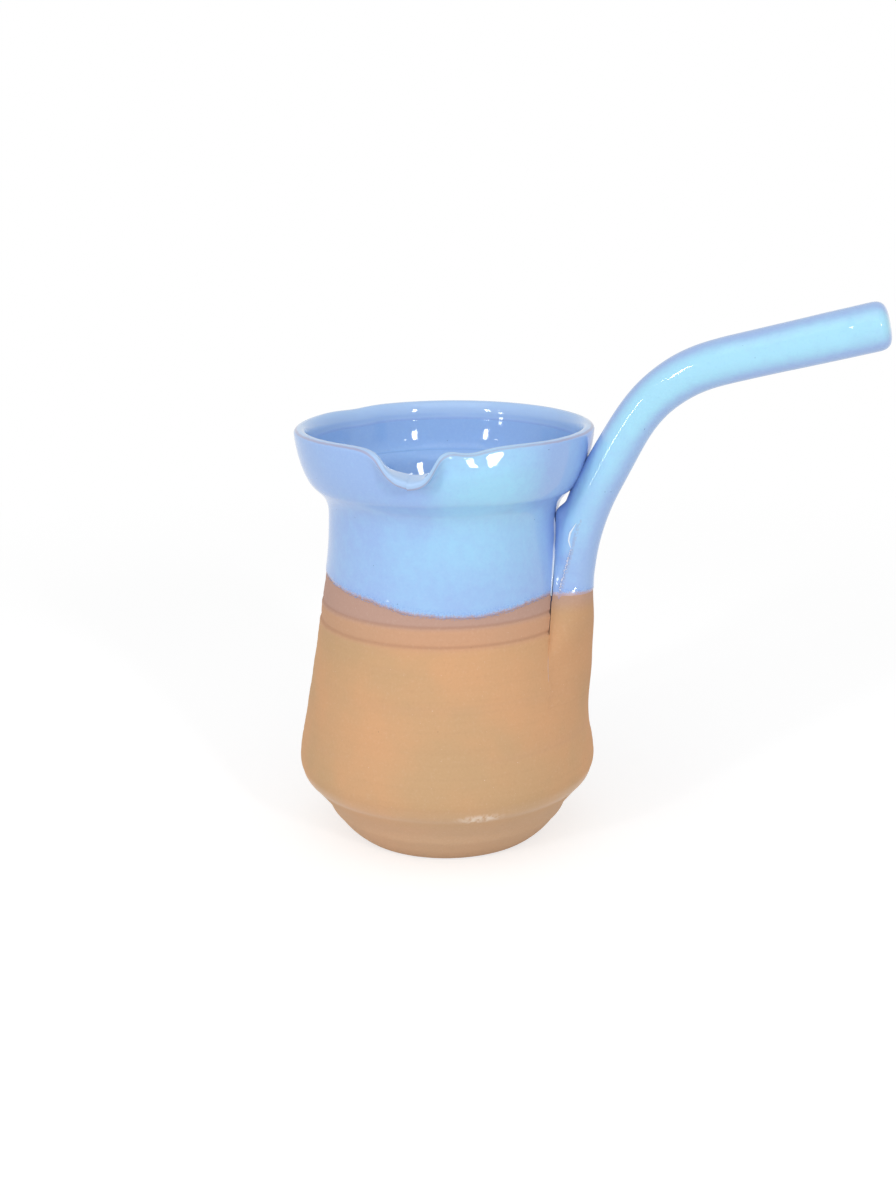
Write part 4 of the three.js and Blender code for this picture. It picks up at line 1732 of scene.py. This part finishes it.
class Sheet:
    """Short way to build a material's nodes, over a base colour that its layers change."""

    def __init__(self, name: str) -> None:
        """Starts a material with one Principled shader.

        Args:
            name: Name of the material.
        """
        self.material = bpy.data.materials.new(name)
        self.material.use_nodes = True
        self.nodes = self.material.node_tree.nodes
        self.links = self.material.node_tree.links
        self.shader = self.nodes["Principled BSDF"]
        self.place = self.nodes.new("ShaderNodeTexCoord").outputs["Object"]
        self.base: Socket | None = None

    def set(self, node: Node, values: dict) -> Node:
        """Gives a node's inputs their values or links.

        Args:
            node: The node.
            values: Defaults or sockets by input.

        Returns:
            The node.
        """
        for key, value in values.items():
            if isinstance(value, Socket):
                self.links.new(value, node.inputs[key])
            else:
                node.inputs[key].default_value = value
        return node

    def maths(self, operation: str, *values: object, clamp: bool = False) -> Socket:
        """One step of arithmetic.

        Args:
            operation: Name of the operation.
            values: Numbers or sockets.
            clamp: True to keep the result from 0 to 1.

        Returns:
            The result.
        """
        node = self.nodes.new("ShaderNodeMath")
        node.operation, node.use_clamp = operation, clamp
        return self.set(node, dict(enumerate(values))).outputs[0]

    def noise(self, grain: Grain) -> Socket:
        """Noise over the object, from 0 to 1.

        Args:
            grain: How fine and how stretched it is.

        Returns:
            The noise.
        """
        placed = self.nodes.new("ShaderNodeMapping")
        self.set(placed, {"Vector": self.place, "Scale": grain.stretch})
        node = self.nodes.new("ShaderNodeTexNoise")
        self.set(node, {"Vector": placed.outputs[0], "Scale": grain.scale, "Detail": grain.detail})
        return node.outputs[0]

    def swing(self, grain: Grain, amount: float) -> Socket:
        """Noise that goes as far under 0 as over it."""
        return self.maths("MULTIPLY_ADD", self.noise(grain), amount, -amount / 2)

    def dots(self, dots: Dots) -> Socket:
        """Scattered dots, 1 inside those that show and 0 elsewhere.

        Args:
            dots: Their spacing, number and size.

        Returns:
            The mask.
        """
        node = self.nodes.new("ShaderNodeTexVoronoi")
        self.set(node, {"Vector": self.place, "Scale": dots.scale})
        split = self.nodes.new("ShaderNodeSeparateColor")
        self.links.new(node.outputs["Color"], split.inputs[0])
        near = self.step(node.outputs["Distance"], dots.size, dots.size / 2)
        shown = self.step(split.outputs[0], dots.chosen, dots.chosen + dots.softness)
        return self.maths("MULTIPLY", near, shown)

    def step(self, value: Socket, low: float, high: float) -> Socket:
        """Smooth step from 0 at low to 1 at high, or the other way round.

        Args:
            value: What is read.
            low: Value at 0.
            high: Value at 1.

        Returns:
            The step.
        """
        node = self.nodes.new("ShaderNodeMapRange")
        node.interpolation_type = "SMOOTHSTEP"
        return self.set(node, {0: value, 1: low, 2: high, 3: 0.0, 4: 1.0}).outputs[0]

    def band(self, value: Socket, edges: Sequence[float]) -> Socket:
        """Band that rises between the first two edges and falls off from the fourth to the third."""
        return self.maths("MULTIPLY", self.step(value, *edges[:2]), self.step(value, *edges[2:]))

    def spot(self, at: Sequence[float], size: Sequence[float]) -> Socket:
        """One soft patch: 1 at a place on the object, 0 past its half sizes.

        Args:
            at: Place on the object, in metres.
            size: Half sizes, in metres.

        Returns:
            The mask.
        """
        placed = self.nodes.new("ShaderNodeMapping")
        placed.vector_type = "TEXTURE"
        self.set(placed, {"Vector": self.place, "Location": at, "Scale": size})
        length = self.nodes.new("ShaderNodeVectorMath")
        length.operation = "LENGTH"
        self.links.new(placed.outputs[0], length.inputs[0])
        return self.step(length.outputs["Value"], 1.0, 0.2)

    def mix(self, share: object, first: object, second: object) -> Socket:
        """Mixes two colours.

        Args:
            share: Share of the second colour.
            first: Colour at 0.
            second: Colour at 1.

        Returns:
            The colour.
        """
        node = self.nodes.new("ShaderNodeMix")
        node.data_type = "RGBA"
        full = [c if isinstance(c, Socket) else (*c, 1.0) for c in (first, second)]
        self.set(node, {0: share, 6: full[0], 7: full[1]})
        return node.outputs[2]

    def tint(self, mask: object, share: object, colour: object) -> None:
        """Lays a share of a colour over the base, inside a mask."""
        self.base = self.mix(self.maths("MULTIPLY", mask, share), self.base, colour)

    def veil(self, value: Socket, veil: Veil, colour: Colour) -> None:
        """Lays a colour over the base, more of it as a value runs from the veil's low to its high."""
        self.tint(self.step(value, veil.low, veil.high), veil.share, colour)

    def mark(self, name: str) -> Socket:
        """A mark that the piece's points carry.

        Args:
            name: Name of the mark.

        Returns:
            The mark.
        """
        node = self.nodes.new("ShaderNodeAttribute")
        node.attribute_name = name
        return node.outputs["Fac"]

    def height(self) -> Socket:
        """Height over the table, in metres.

        Returns:
            The height.
        """
        split = self.nodes.new("ShaderNodeSeparateXYZ")
        self.links.new(self.place, split.inputs[0])
        return split.outputs[2]

    def bump(
        self, height: Socket, distance: float, strength: float, under: object = None
    ) -> Socket:
        """Relief of the surface, over another relief where there is one.

        Args:
            height: The relief.
            distance: Its height, in metres.
            strength: Its strength.
            under: Relief below it.

        Returns:
            The normal.
        """
        node = self.nodes.new("ShaderNodeBump")
        values = {"Height": height, "Distance": distance, "Strength": strength}
        if under is not None:
            values["Normal"] = under
        return self.set(node, values).outputs[0]

    def finish(self, roughness: Socket, normal: Socket, specular: float) -> Material:
        """Wires the shader and gives the finished material.

        Args:
            roughness: The roughness.
            normal: The relief.
            specular: Specular level.

        Returns:
            The material.
        """
        self.set(self.shader, {"Base Color": self.base, "Roughness": roughness, "Normal": normal})
        self.shader.inputs["Specular IOR Level"].default_value = specular
        return self.material


@dataclass(frozen=True)
class ClayFinish:
    """Matt fired terracotta: warm tan, flashed pink under the dip, with fine throwing lines."""

    name: str = "bare terracotta"
    tan: Colour = (0.722, 0.398, 0.203)
    dun: Colour = (0.610, 0.385, 0.204)
    warm: Colour = (0.630, 0.345, 0.228)
    flashed: Colour = (0.500, 0.325, 0.285)
    foot: Colour = (0.640, 0.430, 0.285)
    fleck: Colour = (0.980, 0.880, 0.760)
    iron: Colour = (0.330, 0.150, 0.080)
    shade: Colour = (0.380, 0.190, 0.110)
    thrown: bool = True
    cloud: Grain = Grain(30.0, 4.0)
    cloud_edges: Pair = (0.32, 0.68)
    fine_lines: Grain = Grain(1.0, 3.0, (16.0, 16.0, 1100.0))
    fine_veil: Veil = Veil(0.45, 0.75, 0.04)
    fine_relief: Pair = (0.00008, 0.16)
    broad_lines: Grain = Grain(1.0, 2.0, (10.0, 10.0, 260.0))
    broad_veil: Veil = Veil(0.5, 0.8, 0.12)
    broad_relief: Pair = (0.00020, 0.14)
    foot_veil: Veil = Veil(0.022, 0.010, 0.65)
    glint_spot_at: Triple = (0.0196, -0.0350, 0.0172)
    glint_spot_size: Triple = (0.0085, 0.0085, 0.0021)
    glint_spot_grain: Grain = Grain(700.0, 4.0)
    glint_spot_edges: Pair = (0.36, 0.62)
    glint_spot_share: float = 0.55
    speckle: Grain = Grain(1500.0, 3.0)
    dark_speckle: Veil = Veil(0.52, 0.75, 0.07)
    pale_speckle: Veil = Veil(0.46, 0.25, 0.05)
    flecks: Dots = Dots(820.0, 0.975, 0.13)
    iron_spots: Dots = Dots(560.0, 0.965, 0.11)
    small_flecks: Dots = Dots(1400.0, 0.955, 0.14)
    dot_share: float = 0.50
    grit: Grain = Grain(2600.0)
    grit_relief: Pair = (0.00008, 0.40)
    turned_band: Four = (0.0150, 0.0170, 0.0215, 0.0185)
    turned_gloss: float = 0.42
    roughness: float = 0.80
    specular: float = 0.38
    root_veil: Veil = Veil(0.030, 0.052, 0.16)
    root_flash: Veil = Veil(5.5, 0.5, 0.55)
    wander: Grain = Grain(22.0)
    wander_height: float = 0.0014
    warm_veil: Veil = Veil(0.0618, 0.0636, 0.60)
    flashed_veil: Veil = Veil(0.0672, 0.0690, 0.70)
    groove_shade_veil: Veil = Veil(0.25, 1.0, 0.26)

    def material(self) -> Material:
        """Builds the clay's nodes.

        Returns:
            The material.
        """
        sheet = Sheet(self.name)
        height = sheet.height()
        fine_lines, broad_lines = sheet.noise(self.fine_lines), sheet.noise(self.broad_lines)
        sheet.base = sheet.mix(sheet.step(sheet.noise(self.cloud), *self.cloud_edges), self.tan, self.dun)
        sheet.veil(fine_lines, self.fine_veil, self.shade)
        sheet.veil(broad_lines, self.broad_veil, self.warm)
        sheet.veil(height, self.foot_veil, self.foot)
        if self.thrown:
            self.banded(sheet, height)
        else:
            self.thumbed(sheet, height)
        # Painted highlight: a pale patch on the front of the turned edge, where the lamp glints on the
        # burnished clay, broken up by noise.
        glint_spot = sheet.spot(self.glint_spot_at, self.glint_spot_size)
        glint_spot = sheet.maths("MULTIPLY", glint_spot, sheet.step(sheet.noise(self.glint_spot_grain), *self.glint_spot_edges))
        sheet.tint(glint_spot, self.glint_spot_share, self.fleck)
        speckle = sheet.noise(self.speckle)
        sheet.veil(speckle, self.dark_speckle, self.iron)
        sheet.veil(speckle, self.pale_speckle, self.fleck)
        for dots, colour in (
            (self.flecks, self.fleck), (self.iron_spots, self.iron), (self.small_flecks, self.fleck),
        ):
            sheet.tint(sheet.dots(dots), self.dot_share, colour)
        normal = sheet.bump(sheet.noise(self.grit), *self.grit_relief)
        normal = sheet.bump(fine_lines, *self.fine_relief, normal)
        normal = sheet.bump(broad_lines, *self.broad_relief, normal)
        turned = sheet.band(height, self.turned_band)
        rough = sheet.maths("SUBTRACT", self.roughness, sheet.maths("MULTIPLY", turned, self.turned_gloss))
        return sheet.finish(rough, normal, self.specular)

    def thumbed(self, sheet: Sheet, height: Socket) -> None:
        """Makes the luted root darker higher up, from about 30 to 52 mm, and adds its flashed part under the
        dip.

        Args:
            sheet: The material's sheet.
            height: Height over the table.
        """
        sheet.veil(height, self.root_veil, self.shade)
        sheet.veil(sheet.mark("below"), self.root_flash, self.flashed)

    def banded(self, sheet: Sheet, height: Socket) -> None:
        """Adds the flashed bands under the dip and painted shade in its two tool lines.

        Args:
            sheet: The material's sheet.
            height: Height over the table.
        """
        wander = sheet.maths("MULTIPLY", sheet.noise(self.wander), self.wander_height)
        at = sheet.maths("ADD", height, wander)
        sheet.veil(at, self.warm_veil, self.warm)
        sheet.veil(at, self.flashed_veil, self.flashed)
        # Painted shade: the two tool grooves are darkened by their depth mark, on top of their own shading.
        sheet.veil(sheet.mark("cut"), self.groove_shade_veil, self.shade)


@dataclass(frozen=True)
class GlazeFinish:
    """Glossy light blue glaze, granular at its edge. Its colour mixes a shaded tone and a lit tone by a
    share, plus random drift: on the dip and handle coats the share is painted light, lit cyan where they face
    the lamps and shaded violet elsewhere, and the other finishes use a fixed share.
    """

    name: str
    shaded_and_darker_tone: Colour = (0.345, 0.520, 0.885)
    lit_and_lighter_tone: Colour = (0.380, 0.740, 0.985)
    pale: Colour = (0.515, 0.730, 1.000)
    broken: Colour = (0.400, 0.330, 0.460)
    deep: Colour = (0.090, 0.170, 0.400)
    grain: Colour = (0.210, 0.370, 0.800)
    body: Colour = (0.560, 0.360, 0.330)
    light_and_tone_share: float | None = None
    rim: bool = False
    fringe: bool = False
    ridge: bool = False
    drift: Grain = Grain(38.0, 2.0, (1.0, 1.0, 0.6))
    drift_amount: float = 0.7
    fine_drift: Grain = Grain(420.0, 3.0)
    fine_drift_amount: float = 0.5
    mottle: Grain = Grain(1300.0, 3.0)
    pale_mottle: Veil = Veil(0.48, 0.75, 0.10)
    deep_mottle: Veil = Veil(0.45, 0.25, 0.08)
    pinholes: tuple[Dots, Dots] = (Dots(300.0, 0.968, 0.075, 0.01), Dots(700.0, 0.975, 0.13, 0.01))
    pinhole_share: float = 0.75
    pinhole_relief: Pair = (0.00012, 0.6)
    ridge_pits: Grain = Grain(1700.0)
    ridge_pit_edges: Pair = (0.40, 0.56)
    ridge_edges: Pair = (0.75, 0.15)
    ridge_share: float = 0.30
    flow: Grain = Grain(85.0, 1.0)
    flow_relief: Pair = (0.0006, 0.22)
    ripple: Grain = Grain(420.0, 1.0)
    ripple_relief: Pair = (0.00006, 0.30)
    roughness: float = 0.035
    mottle_roughness: float = 0.03
    edge_rough_at: Pair = (1.2, 0.4)
    edge_roughness: float = 0.30
    specular: float = 0.45
    edge_fine: Grain = Grain(4600.0)
    edge_coarse: Grain = Grain(2600.0)
    edge_grain_reach: Pair = (3.0, 0.2)
    edge_grain_edges: Pair = (0.46, 0.58)
    edge_grain_share: float = 0.70
    edge_swing: Pair = (2.8, -0.80)
    edge_bare: Veil = Veil(0.35, -0.25, 0.85)
    crown_band: Four = (0.05, 0.40, 1.50, 0.80)
    crown_share: float = 0.60
    crown_uneven: float = 0.10
    crown_line: Four = (0.13, 0.22, 0.36, 0.28)
    line_fading: Pair = (-0.35, 0.60)

    def material(self) -> Material:
        """Builds the glaze's nodes.

        Returns:
            The material.
        """
        sheet = Sheet(self.name)
        fine_drift = sheet.swing(self.fine_drift, self.fine_drift_amount)
        drift = sheet.maths("ADD", sheet.swing(self.drift, self.drift_amount), fine_drift)
        # Painted light: the share of the lit tone comes from the piece's mark, or is fixed, and random drift
        # is added.
        depth = sheet.mark("light_and_tone_share") if self.light_and_tone_share is None else self.light_and_tone_share
        sheet.base = sheet.mix(sheet.maths("ADD", depth, drift, clamp=True), self.shaded_and_darker_tone, self.lit_and_lighter_tone)
        mottle = sheet.noise(self.mottle)
        sheet.veil(mottle, self.pale_mottle, self.pale)
        sheet.veil(mottle, self.deep_mottle, self.grain)
        pinhole = sheet.maths("MAXIMUM", *(sheet.dots(dots) for dots in self.pinholes))
        sheet.tint(pinhole, self.pinhole_share, self.deep)
        rough = sheet.maths("ADD", self.roughness, sheet.maths("MULTIPLY", mottle, self.mottle_roughness))
        if self.fringe:
            self.fringed(sheet)
            dull = sheet.step(sheet.mark("edge"), *self.edge_rough_at)
            rough = sheet.maths("ADD", rough, sheet.maths("MULTIPLY", dull, self.edge_roughness))
        if self.rim:
            self.rimmed(sheet)
        if self.ridge:
            self.ridged(sheet)
        normal = sheet.bump(sheet.noise(self.flow), *self.flow_relief)
        normal = sheet.bump(sheet.noise(self.ripple), *self.ripple_relief, normal)
        normal = sheet.bump(sheet.maths("SUBTRACT", 1.0, pinhole), *self.pinhole_relief, normal)
        return sheet.finish(rough, normal, self.specular)

    def fringed(self, sheet: Sheet) -> None:
        """Adds the deep grains near the dip's edge and the clay that shows through at the very edge.

        Args:
            sheet: The material's sheet.
        """
        edge = sheet.mark("edge")
        coarse = sheet.step(sheet.noise(self.edge_coarse), *self.edge_grain_edges)
        grains = sheet.maths("MULTIPLY", sheet.step(edge, *self.edge_grain_reach), coarse)
        sheet.tint(grains, self.edge_grain_share, self.grain)
        bare = sheet.maths("MULTIPLY_ADD", sheet.noise(self.edge_fine), *self.edge_swing)
        sheet.veil(sheet.maths("SUBTRACT", edge, bare), self.edge_bare, self.body)

    def rimmed(self, sheet: Sheet) -> None:
        """Adds the pale crown of the rim and the line along it where the glaze broke to the clay.

        Args:
            sheet: The material's sheet.
        """
        crown = sheet.mark("crown")
        sheet.tint(sheet.band(crown, self.crown_band), self.crown_share, self.pale)
        at = sheet.maths("ADD", crown, sheet.swing(self.fine_drift, self.crown_uneven))
        # The broken line fades where the painted-light share is high.
        weaker = sheet.maths("MULTIPLY_ADD", sheet.mark("light_and_tone_share"), *self.line_fading)
        sheet.tint(sheet.band(at, self.crown_line), weaker, self.broken)

    def ridged(self, sheet: Sheet) -> None:
        """Adds the broken glaze along the ridge of the handle's flank.

        Args:
            sheet: The material's sheet.
        """
        pits = sheet.step(sheet.noise(self.ridge_pits), *self.ridge_pit_edges)
        seam = sheet.maths("MULTIPLY", sheet.step(sheet.mark("ridge"), *self.ridge_edges), pits)
        sheet.tint(seam, self.ridge_share, self.broken)


@dataclass(frozen=True)
class CrackShadowFinish:
    """Near-black finish of the bead in the crack beside the root: painted shadow, blue-black above the glaze
    line and brown-black below, with dust.
    """

    name: str = "painted crack shadow"
    high: Colour = (0.020, 0.045, 0.120)
    low: Colour = (0.045, 0.016, 0.010)
    dust: Colour = (0.12, 0.09, 0.10)
    dust_grain: Grain = Grain(1400.0)
    dust_edges: Pair = (0.3, 0.7)
    dust_share: float = 0.25
    dust_relief: Pair = (0.00004, 0.4)
    glazed: Pair = (0.068, 0.072)
    glazed_gloss: Pair = (-0.4, 0.7)
    specular: float = 0.3

    def material(self) -> Material:
        """Builds the painted shadow's nodes: blue-black in the glaze, brown-black in the clay.

        Returns:
            The material.
        """
        sheet = Sheet(self.name)
        share = sheet.step(sheet.height(), *self.glazed)
        dust = sheet.step(sheet.noise(self.dust_grain), *self.dust_edges)
        sheet.base = sheet.mix(share, self.low, self.high)
        sheet.tint(dust, self.dust_share, self.dust)
        rough = sheet.maths("MULTIPLY_ADD", share, *self.glazed_gloss)
        return sheet.finish(rough, sheet.bump(dust, *self.dust_relief), self.specular)


# ---- studio


@dataclass(frozen=True)
class Lamp:
    """A rectangular lamp that looks at the pot."""

    name: str
    azimuth: float
    elevation: float
    distance: float
    size: Pair
    watts: float

    def light(self, aim: Vector, front: float) -> None:
        """Makes the lamp.

        Args:
            aim: Point that the lamp looks at, in metres.
            front: Direction of the camera from the aim, in degrees.
        """
        data = bpy.data.lights.new(self.name, "AREA")
        data.shape, data.size, data.size_y = "RECTANGLE", self.size[0], self.size[1]
        data.energy = self.watts
        turn, rise = math.radians(front - self.azimuth), math.radians(self.elevation)
        out = Vector((math.cos(turn) * math.cos(rise), math.sin(turn) * math.cos(rise), math.sin(rise)))
        lamp = linked(self.name, data)
        lamp.location = aim + out * self.distance
        lamp.rotation_mode = "QUATERNION"
        lamp.rotation_quaternion = out.to_track_quat("Z", "Y")


@dataclass(frozen=True)
class Studio:
    """Floor, soft light and the camera at the photograph's viewing angle."""

    camera_place: Triple = (0.12616, -0.41266, 0.18800)
    focal_pixels: float = 1615.73
    pitch: float = 0.274
    yaw: float = 0.002
    roll: float = 0.015
    handle_turn: float = 17.0
    sensor: float = 36.0
    clip: Pair = (0.01, 50.0)
    aim: Triple = (0.0, 0.0, 0.08)
    lamps: tuple[Lamp, ...] = (
        Lamp("left lamp", 40.0, 21.0, 1.1, (0.08, 0.18), 1.5),
        Lamp("right lamp", -27.0, 21.0, 1.1, (0.08, 0.18), 2.25),
        Lamp("left strip", 51.0, 24.0, 1.1, (0.06, 0.014), 0.05),
        Lamp("right strip", -38.0, 24.0, 1.1, (0.06, 0.014), 0.05),
        Lamp("tall slit", 51.0, 7.3, 1.1, (0.06, 0.24), 0.9),
        Lamp("soft top", 10.0, 60.0, 1.2, (1.0, 1.0), 2.4),
    )
    fill: float = 0.52
    floor_radius: float = 6.0
    floor_drop: float = 2e-5
    floor_bounce: float = 0.93
    floor_shade: float = 0.50
    floor_glow: float = 0.65
    floor_fade: Pair = (0.20, 0.50)
    floor_grain: Grain = Grain(900.0)
    floor_roughness: Pair = (0.1, 0.7)

    def camera(self) -> None:
        """Makes the camera."""
        data = bpy.data.cameras.new("photo camera")
        data.sensor_fit, data.sensor_width = "AUTO", self.sensor
        data.lens = self.focal_pixels / PHOTO_SIZE[1] * data.sensor_width
        data.clip_start, data.clip_end = self.clip
        level = math.cos(self.pitch)
        ahead = Vector((math.sin(self.yaw) * level, math.cos(self.yaw) * level, -math.sin(self.pitch)))
        right = Vector((math.cos(self.yaw), -math.sin(self.yaw), 0.0))
        down = ahead.cross(right)
        cosine, sine = math.cos(self.roll), math.sin(self.roll)
        right, down = right * cosine + down * sine, down * cosine - right * sine
        turn = Matrix.Rotation(math.radians(self.handle_turn), 3, "Z")
        axes = Matrix((turn @ right, turn @ -down, turn @ -ahead)).transposed()
        camera = linked("photo camera", data)
        camera.matrix_world = Matrix.Translation(self.camera_place) @ axes.to_4x4()
        bpy.context.scene.camera = camera

    def world(self) -> None:
        """Soft even light, with a white background for the camera, gloss and glass."""
        world = bpy.data.worlds.new("studio")
        bpy.context.scene.world = world
        world.use_nodes = True
        nodes, links = world.node_tree.nodes, world.node_tree.links
        sky = nodes["Background"]
        sky.inputs["Color"].default_value = (1.0, 1.0, 1.0, 1.0)
        path = nodes.new("ShaderNodeLightPath")
        seen = path.outputs["Is Camera Ray"]
        for ray in ("Is Glossy Ray", "Is Transmission Ray"):
            more = nodes.new("ShaderNodeMath")
            more.operation = "MAXIMUM"
            links.new(seen, more.inputs[0])
            links.new(path.outputs[ray], more.inputs[1])
            seen = more.outputs[0]
        strength = nodes.new("ShaderNodeMapRange")
        strength.inputs[3].default_value, strength.inputs[4].default_value = self.fill, 1.0
        links.new(seen, strength.inputs[0])
        links.new(strength.outputs[0], sky.inputs["Strength"])

    def floor(self) -> None:
        """A plain pale floor that keeps the pot's shadow and fades to the white background."""
        mesh = bpy.data.meshes.new("floor")
        r, z = self.floor_radius, -self.floor_drop
        mesh.from_pydata([(-r, -r, z), (r, -r, z), (r, r, z), (-r, r, z)], [], [(0, 1, 2, 3)])
        sheet = Sheet("pale floor")
        rough = sheet.maths("MULTIPLY_ADD", sheet.noise(self.floor_grain), *self.floor_roughness)
        sheet.set(sheet.shader, {"Base Color": (*[self.floor_bounce] * 3, 1.0), "Roughness": rough})
        sheet.shader.inputs["Specular IOR Level"].default_value = 0.0
        seen_floor = sheet.nodes.new("ShaderNodeBsdfDiffuse")
        seen_floor.inputs["Color"].default_value = (*[self.floor_shade] * 3, 1.0)
        glow, white = (sheet.nodes.new("ShaderNodeEmission") for _ in range(2))
        glow.inputs["Strength"].default_value = self.floor_glow
        both = sheet.nodes.new("ShaderNodeAddShader")
        sheet.set(both, {0: seen_floor.outputs[0], 1: glow.outputs[0]})
        distance = sheet.nodes.new("ShaderNodeVectorMath")
        distance.operation = "LENGTH"
        sheet.links.new(sheet.place, distance.inputs[0])
        faded = self.mixed(sheet, sheet.step(distance.outputs["Value"], *self.floor_fade), both, white)
        path = sheet.nodes.new("ShaderNodeLightPath")
        seen = path.outputs["Is Camera Ray"]
        for ray in ("Is Glossy Ray", "Is Transmission Ray"):
            seen = sheet.maths("MAXIMUM", seen, path.outputs[ray])
        joined = self.mixed(sheet, seen, sheet.shader, faded)
        sheet.links.new(joined.outputs[0], sheet.nodes["Material Output"].inputs["Surface"])
        mesh.materials.append(sheet.material)
        linked("floor", mesh)

    @staticmethod
    def mixed(sheet: Sheet, share: object, first: Node, second: Node) -> Node:
        """Mixes two shaders."""
        node = sheet.nodes.new("ShaderNodeMixShader")
        return sheet.set(node, {0: share, 1: first.outputs[0], 2: second.outputs[0]})

    def build(self) -> None:
        """Makes the whole studio."""
        self.camera()
        self.world()
        self.floor()
        front = math.degrees(math.atan2(self.camera_place[1], self.camera_place[0]))
        for lamp in self.lamps:
            lamp.light(Vector(self.aim), front)
        bpy.context.scene.view_settings.view_transform = "Standard"


# ---- build


def dress(piece: Piece, finish: Material, slot: Slot, *nodes: str) -> None:
    """Gives a piece its finish and its place in the frame, and hides the CAD nodes that it stands for.

    Args:
        piece: The piece.
        finish: Its material.
        slot: Not used.
        nodes: CAD nodes that it stands for.
    """
    piece.data.materials.clear()
    piece.data.materials.append(finish)
    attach(piece, "root")
    if nodes:
        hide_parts(*nodes)
    LOG.info("%s: %d faces", piece.name, len(piece.data.polygons))


def main() -> None:
    """Builds the pot and its studio in order."""
    Studio().build()
    clay = ClayFinish().material()
    slip = ClayFinish(name="luting clay", thrown=False).material()
    # Painted highlight: the slip line gets a lighter tan than the luting clay.
    slip_painted_highlight = ClayFinish(
        name="slip with painted highlight", tan=(0.860, 0.600, 0.400), dun=(0.820, 0.580, 0.400), thrown=False
    ).material()
    # The dip and handle glazes mix their lit and shaded tones by the painted-light mark; the finishes after
    # these use a fixed share.
    dip = GlazeFinish(name="dip glaze", rim=True, fringe=True).material()
    rod = GlazeFinish(
        name="handle glaze", shaded_and_darker_tone=(0.360, 0.530, 0.870), lit_and_lighter_tone=(0.405, 0.770, 0.965), fringe=True, ridge=True
    ).material()
    liner, glint_meniscus, drop, grains, bubbles = (
        GlazeFinish(name=name, shaded_and_darker_tone=shaded_and_darker_tone, lit_and_lighter_tone=lit_and_lighter_tone, light_and_tone_share=light_and_tone_share).material()
        for name, shaded_and_darker_tone, lit_and_lighter_tone, light_and_tone_share in (
            ("liner glaze", (0.300, 0.480, 0.860), (0.325, 0.560, 0.920), 0.6),
            # Near-white: painted highlights on the corner bead and the crooked bead of glaze.
            ("painted highlight bead glaze", (0.780, 0.880, 1.000), (0.930, 0.980, 1.000), 0.6),
            ("painted highlight run glaze", (0.860, 0.940, 1.000), (0.950, 0.980, 1.000), 0.6),
            ("edge grains", (0.230, 0.360, 0.720), (0.420, 0.560, 0.860), 0.5),
            ("burst bubbles", (0.560, 0.560, 0.760), (0.950, 0.970, 1.000), 0.6),
        )
    )
    # Painted shadow for the crack beside the root.
    joint = CrackShadowFinish().material()

    pot = ThrownPot()
    dress(pot.body(), clay, Slot.CLAY, "pot_body")
    dress(pot.dip_coat(), dip, Slot.DIP, "dip_glaze")
    dress(pot.liner_coat(), liner, Slot.LINER, "liner_glaze")
    edge_froth = Froth(
        "edge_froth", count=1500, spread=(0.05, 0.05, 0.45), smallest=0.03, largest=0.13, seed=7
    )
    dress(edge_froth.along(pot.edge_path(), grains), grains, Slot.DIP)

    route = RodRoute(pot.outline)
    handle = PulledHandle(pot.outline, pot.dip_line, route, LutedRoot(pot.outline, route))
    dress(handle.clay_rod(), clay, Slot.CLAY, "handle")
    dress(handle.luted_root(), slip, Slot.LUTING, "luting_clay")
    dress(handle.glaze_coat(), rod, Slot.DIP, "handle_glaze")
    for side in Side:
        # The glaze bead and the slip line carry painted highlights, the crack bead a painted shadow.
        for sizes, finish, slot in (
            (handle.glint_meniscus, glint_meniscus, Slot.DIP),
            (handle.crack_shadow, joint, Slot.LUTING),
            (handle.slip_line, slip_painted_highlight, Slot.LUTING),
        ):
            dress(handle.corner_bead(sizes, side, finish), finish, slot)
    # Painted highlight: the crooked bead of glaze has a near-white finish.
    dress(handle.glint_run(drop), drop, Slot.DIP)
    ridge_froth = Froth(
        "ridge_froth", count=34, spread=(0.20, 0.10, 0.25), smallest=0.12, largest=0.30, seed=3
    )
    dress(ridge_froth.along(handle.ridge_path(), bubbles), bubbles, Slot.DIP)


if __name__ == "__main__":
    logging.basicConfig(level=logging.INFO, format="%(message)s")
    main()
